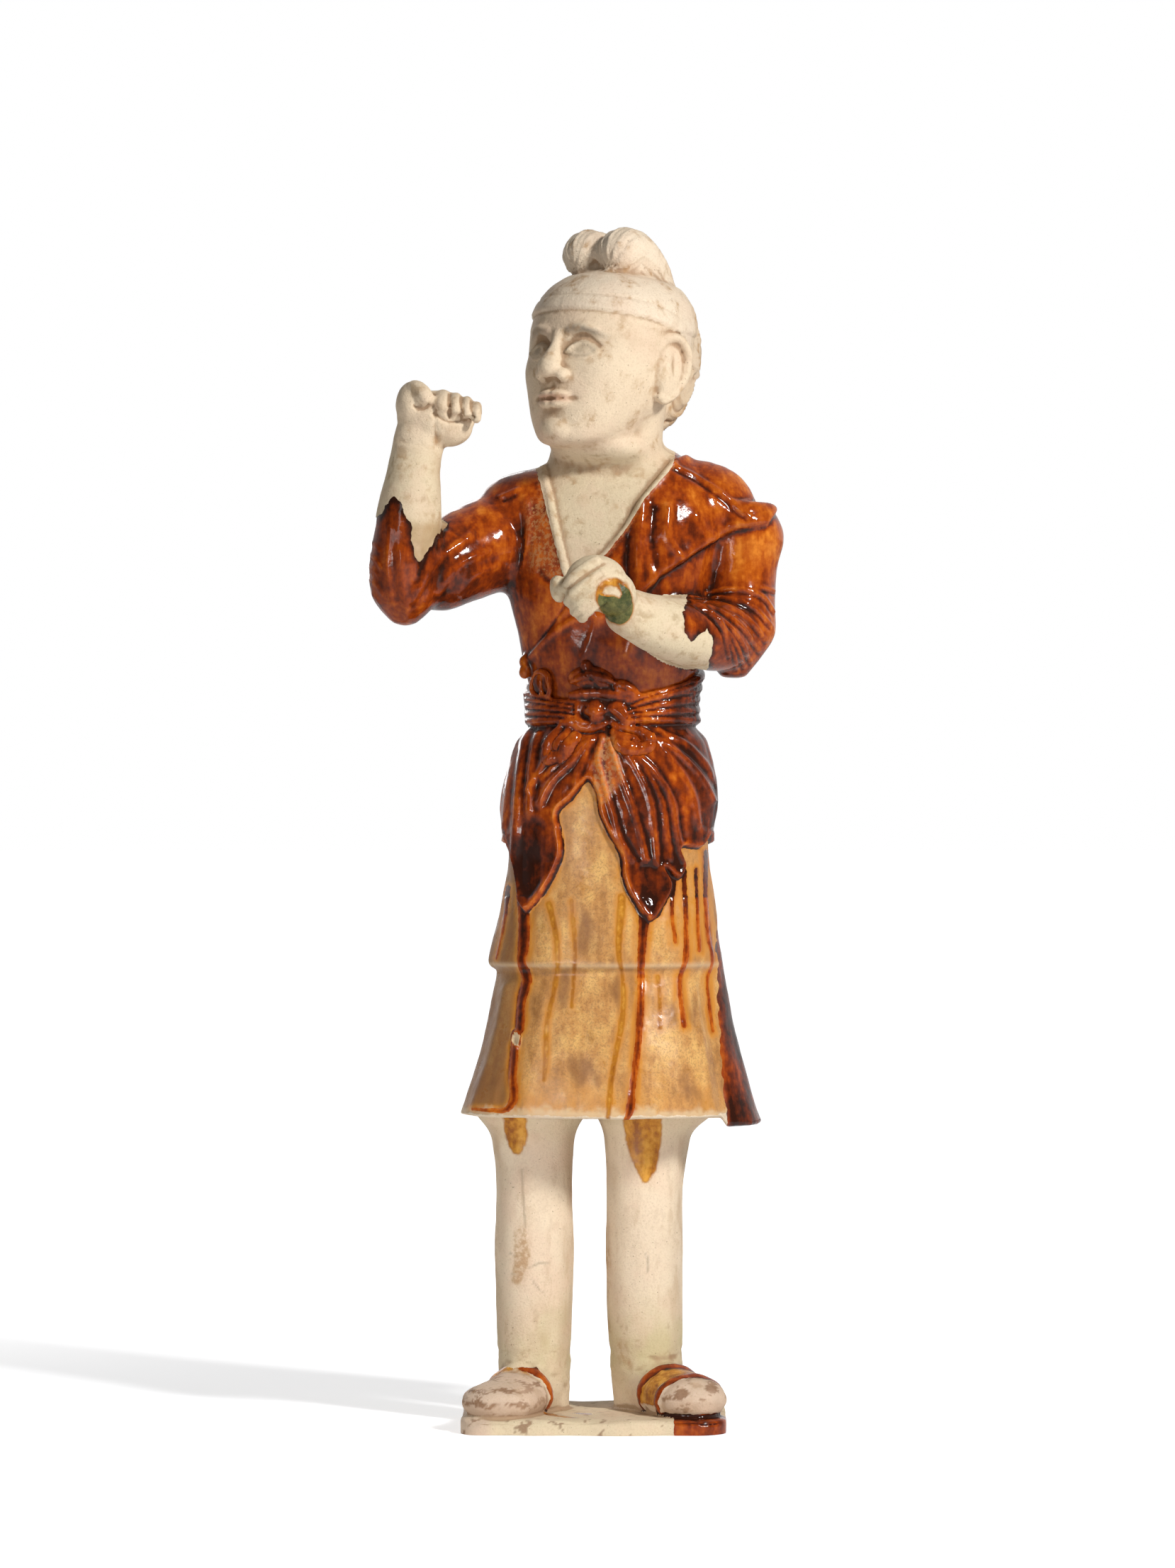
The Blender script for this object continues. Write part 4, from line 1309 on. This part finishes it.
paper.links.new(glow, floor_shader.inputs["Emission Strength"])
floor_mesh.materials.append(floor_paint)
bpy.context.scene.collection.objects.link(floor)

world = bpy.data.worlds.new("studio")
bpy.context.scene.world = world
world.use_nodes = True
room = world.node_tree
background = room.nodes["Background"]
background.inputs["Color"].default_value = (1, 1, 1, 1)
rays = shader_node(room, "ShaderNodeLightPath")
view_way = shader_node(room, "ShaderNodeTexCoord").outputs["Generated"]
way = shader_node(room, "ShaderNodeSeparateXYZ", {0: view_way})
backdrop = {"Value": way.outputs["Y"], "From Min": -0.2, "From Max": 0.6, "To Min": 0.06, "To Max": 0.75}
white_behind = shader_node(room, "ShaderNodeMapRange", backdrop).outputs["Result"]
glossy = {0: rays.outputs["Is Glossy Ray"], 2: SOFT_LIGHT, 3: white_behind}
mirrored = shader_node(room, "ShaderNodeMix", glossy, data_type="FLOAT").outputs[0]
to_camera = {0: rays.outputs["Is Camera Ray"], 2: mirrored, 3: 1.0}
seen = shader_node(room, "ShaderNodeMix", to_camera, data_type="FLOAT").outputs[0]
room.links.new(seen, background.inputs["Strength"])


def softbox(name, place, aim, size, power, spread=180):
    """An area light that faces a point, with its beam held to this many degrees."""
    light = bpy.data.lights.new(name, "AREA")
    light.shape = "RECTANGLE"
    light.spread = math.radians(spread)
    light.size, light.size_y = size
    light.energy = power
    lamp = bpy.data.objects.new(name, light)
    lamp.location = place
    lamp.rotation_euler = (Vector(aim) - Vector(place)).to_track_quat("-Z", "Y").to_euler()
    bpy.context.scene.collection.objects.link(lamp)


softbox("key_light", (1.4, -1.6, 1.6), (0, 0, 0.38), (0.2, 0.35), 56)
softbox("fill_light", (-1.3, -2.1, 0.5), (0, 0, 0.25), (0.3, 1.2), 4)
softbox("low_light", (-0.9, -1.7, 0.25), (0, 0, 0.10), (0.5, 0.3), 0.3, spread=28)
softbox("rim_light", (-0.7, 1.9, 1.1), (0, 0, 0.4), (0.9, 1.2), 9)

EYE_LEVEL = 0.3742
CAMERA_AWAY = 3.5
CAMERA_ASIDE = -0.0058
SENSOR = 36
LENS = 137.6
camera_data = bpy.data.cameras.new("camera")
camera_data.sensor_fit = "VERTICAL"
camera_data.sensor_height = SENSOR
camera_data.lens = LENS
camera = bpy.data.objects.new("camera", camera_data)
camera.location = (CAMERA_ASIDE, -CAMERA_AWAY, EYE_LEVEL)
camera.rotation_euler = (math.radians(90), 0, 0)
bpy.context.scene.collection.objects.link(camera)
bpy.context.scene.camera = camera
bpy.context.scene.view_settings.view_transform = "Standard"
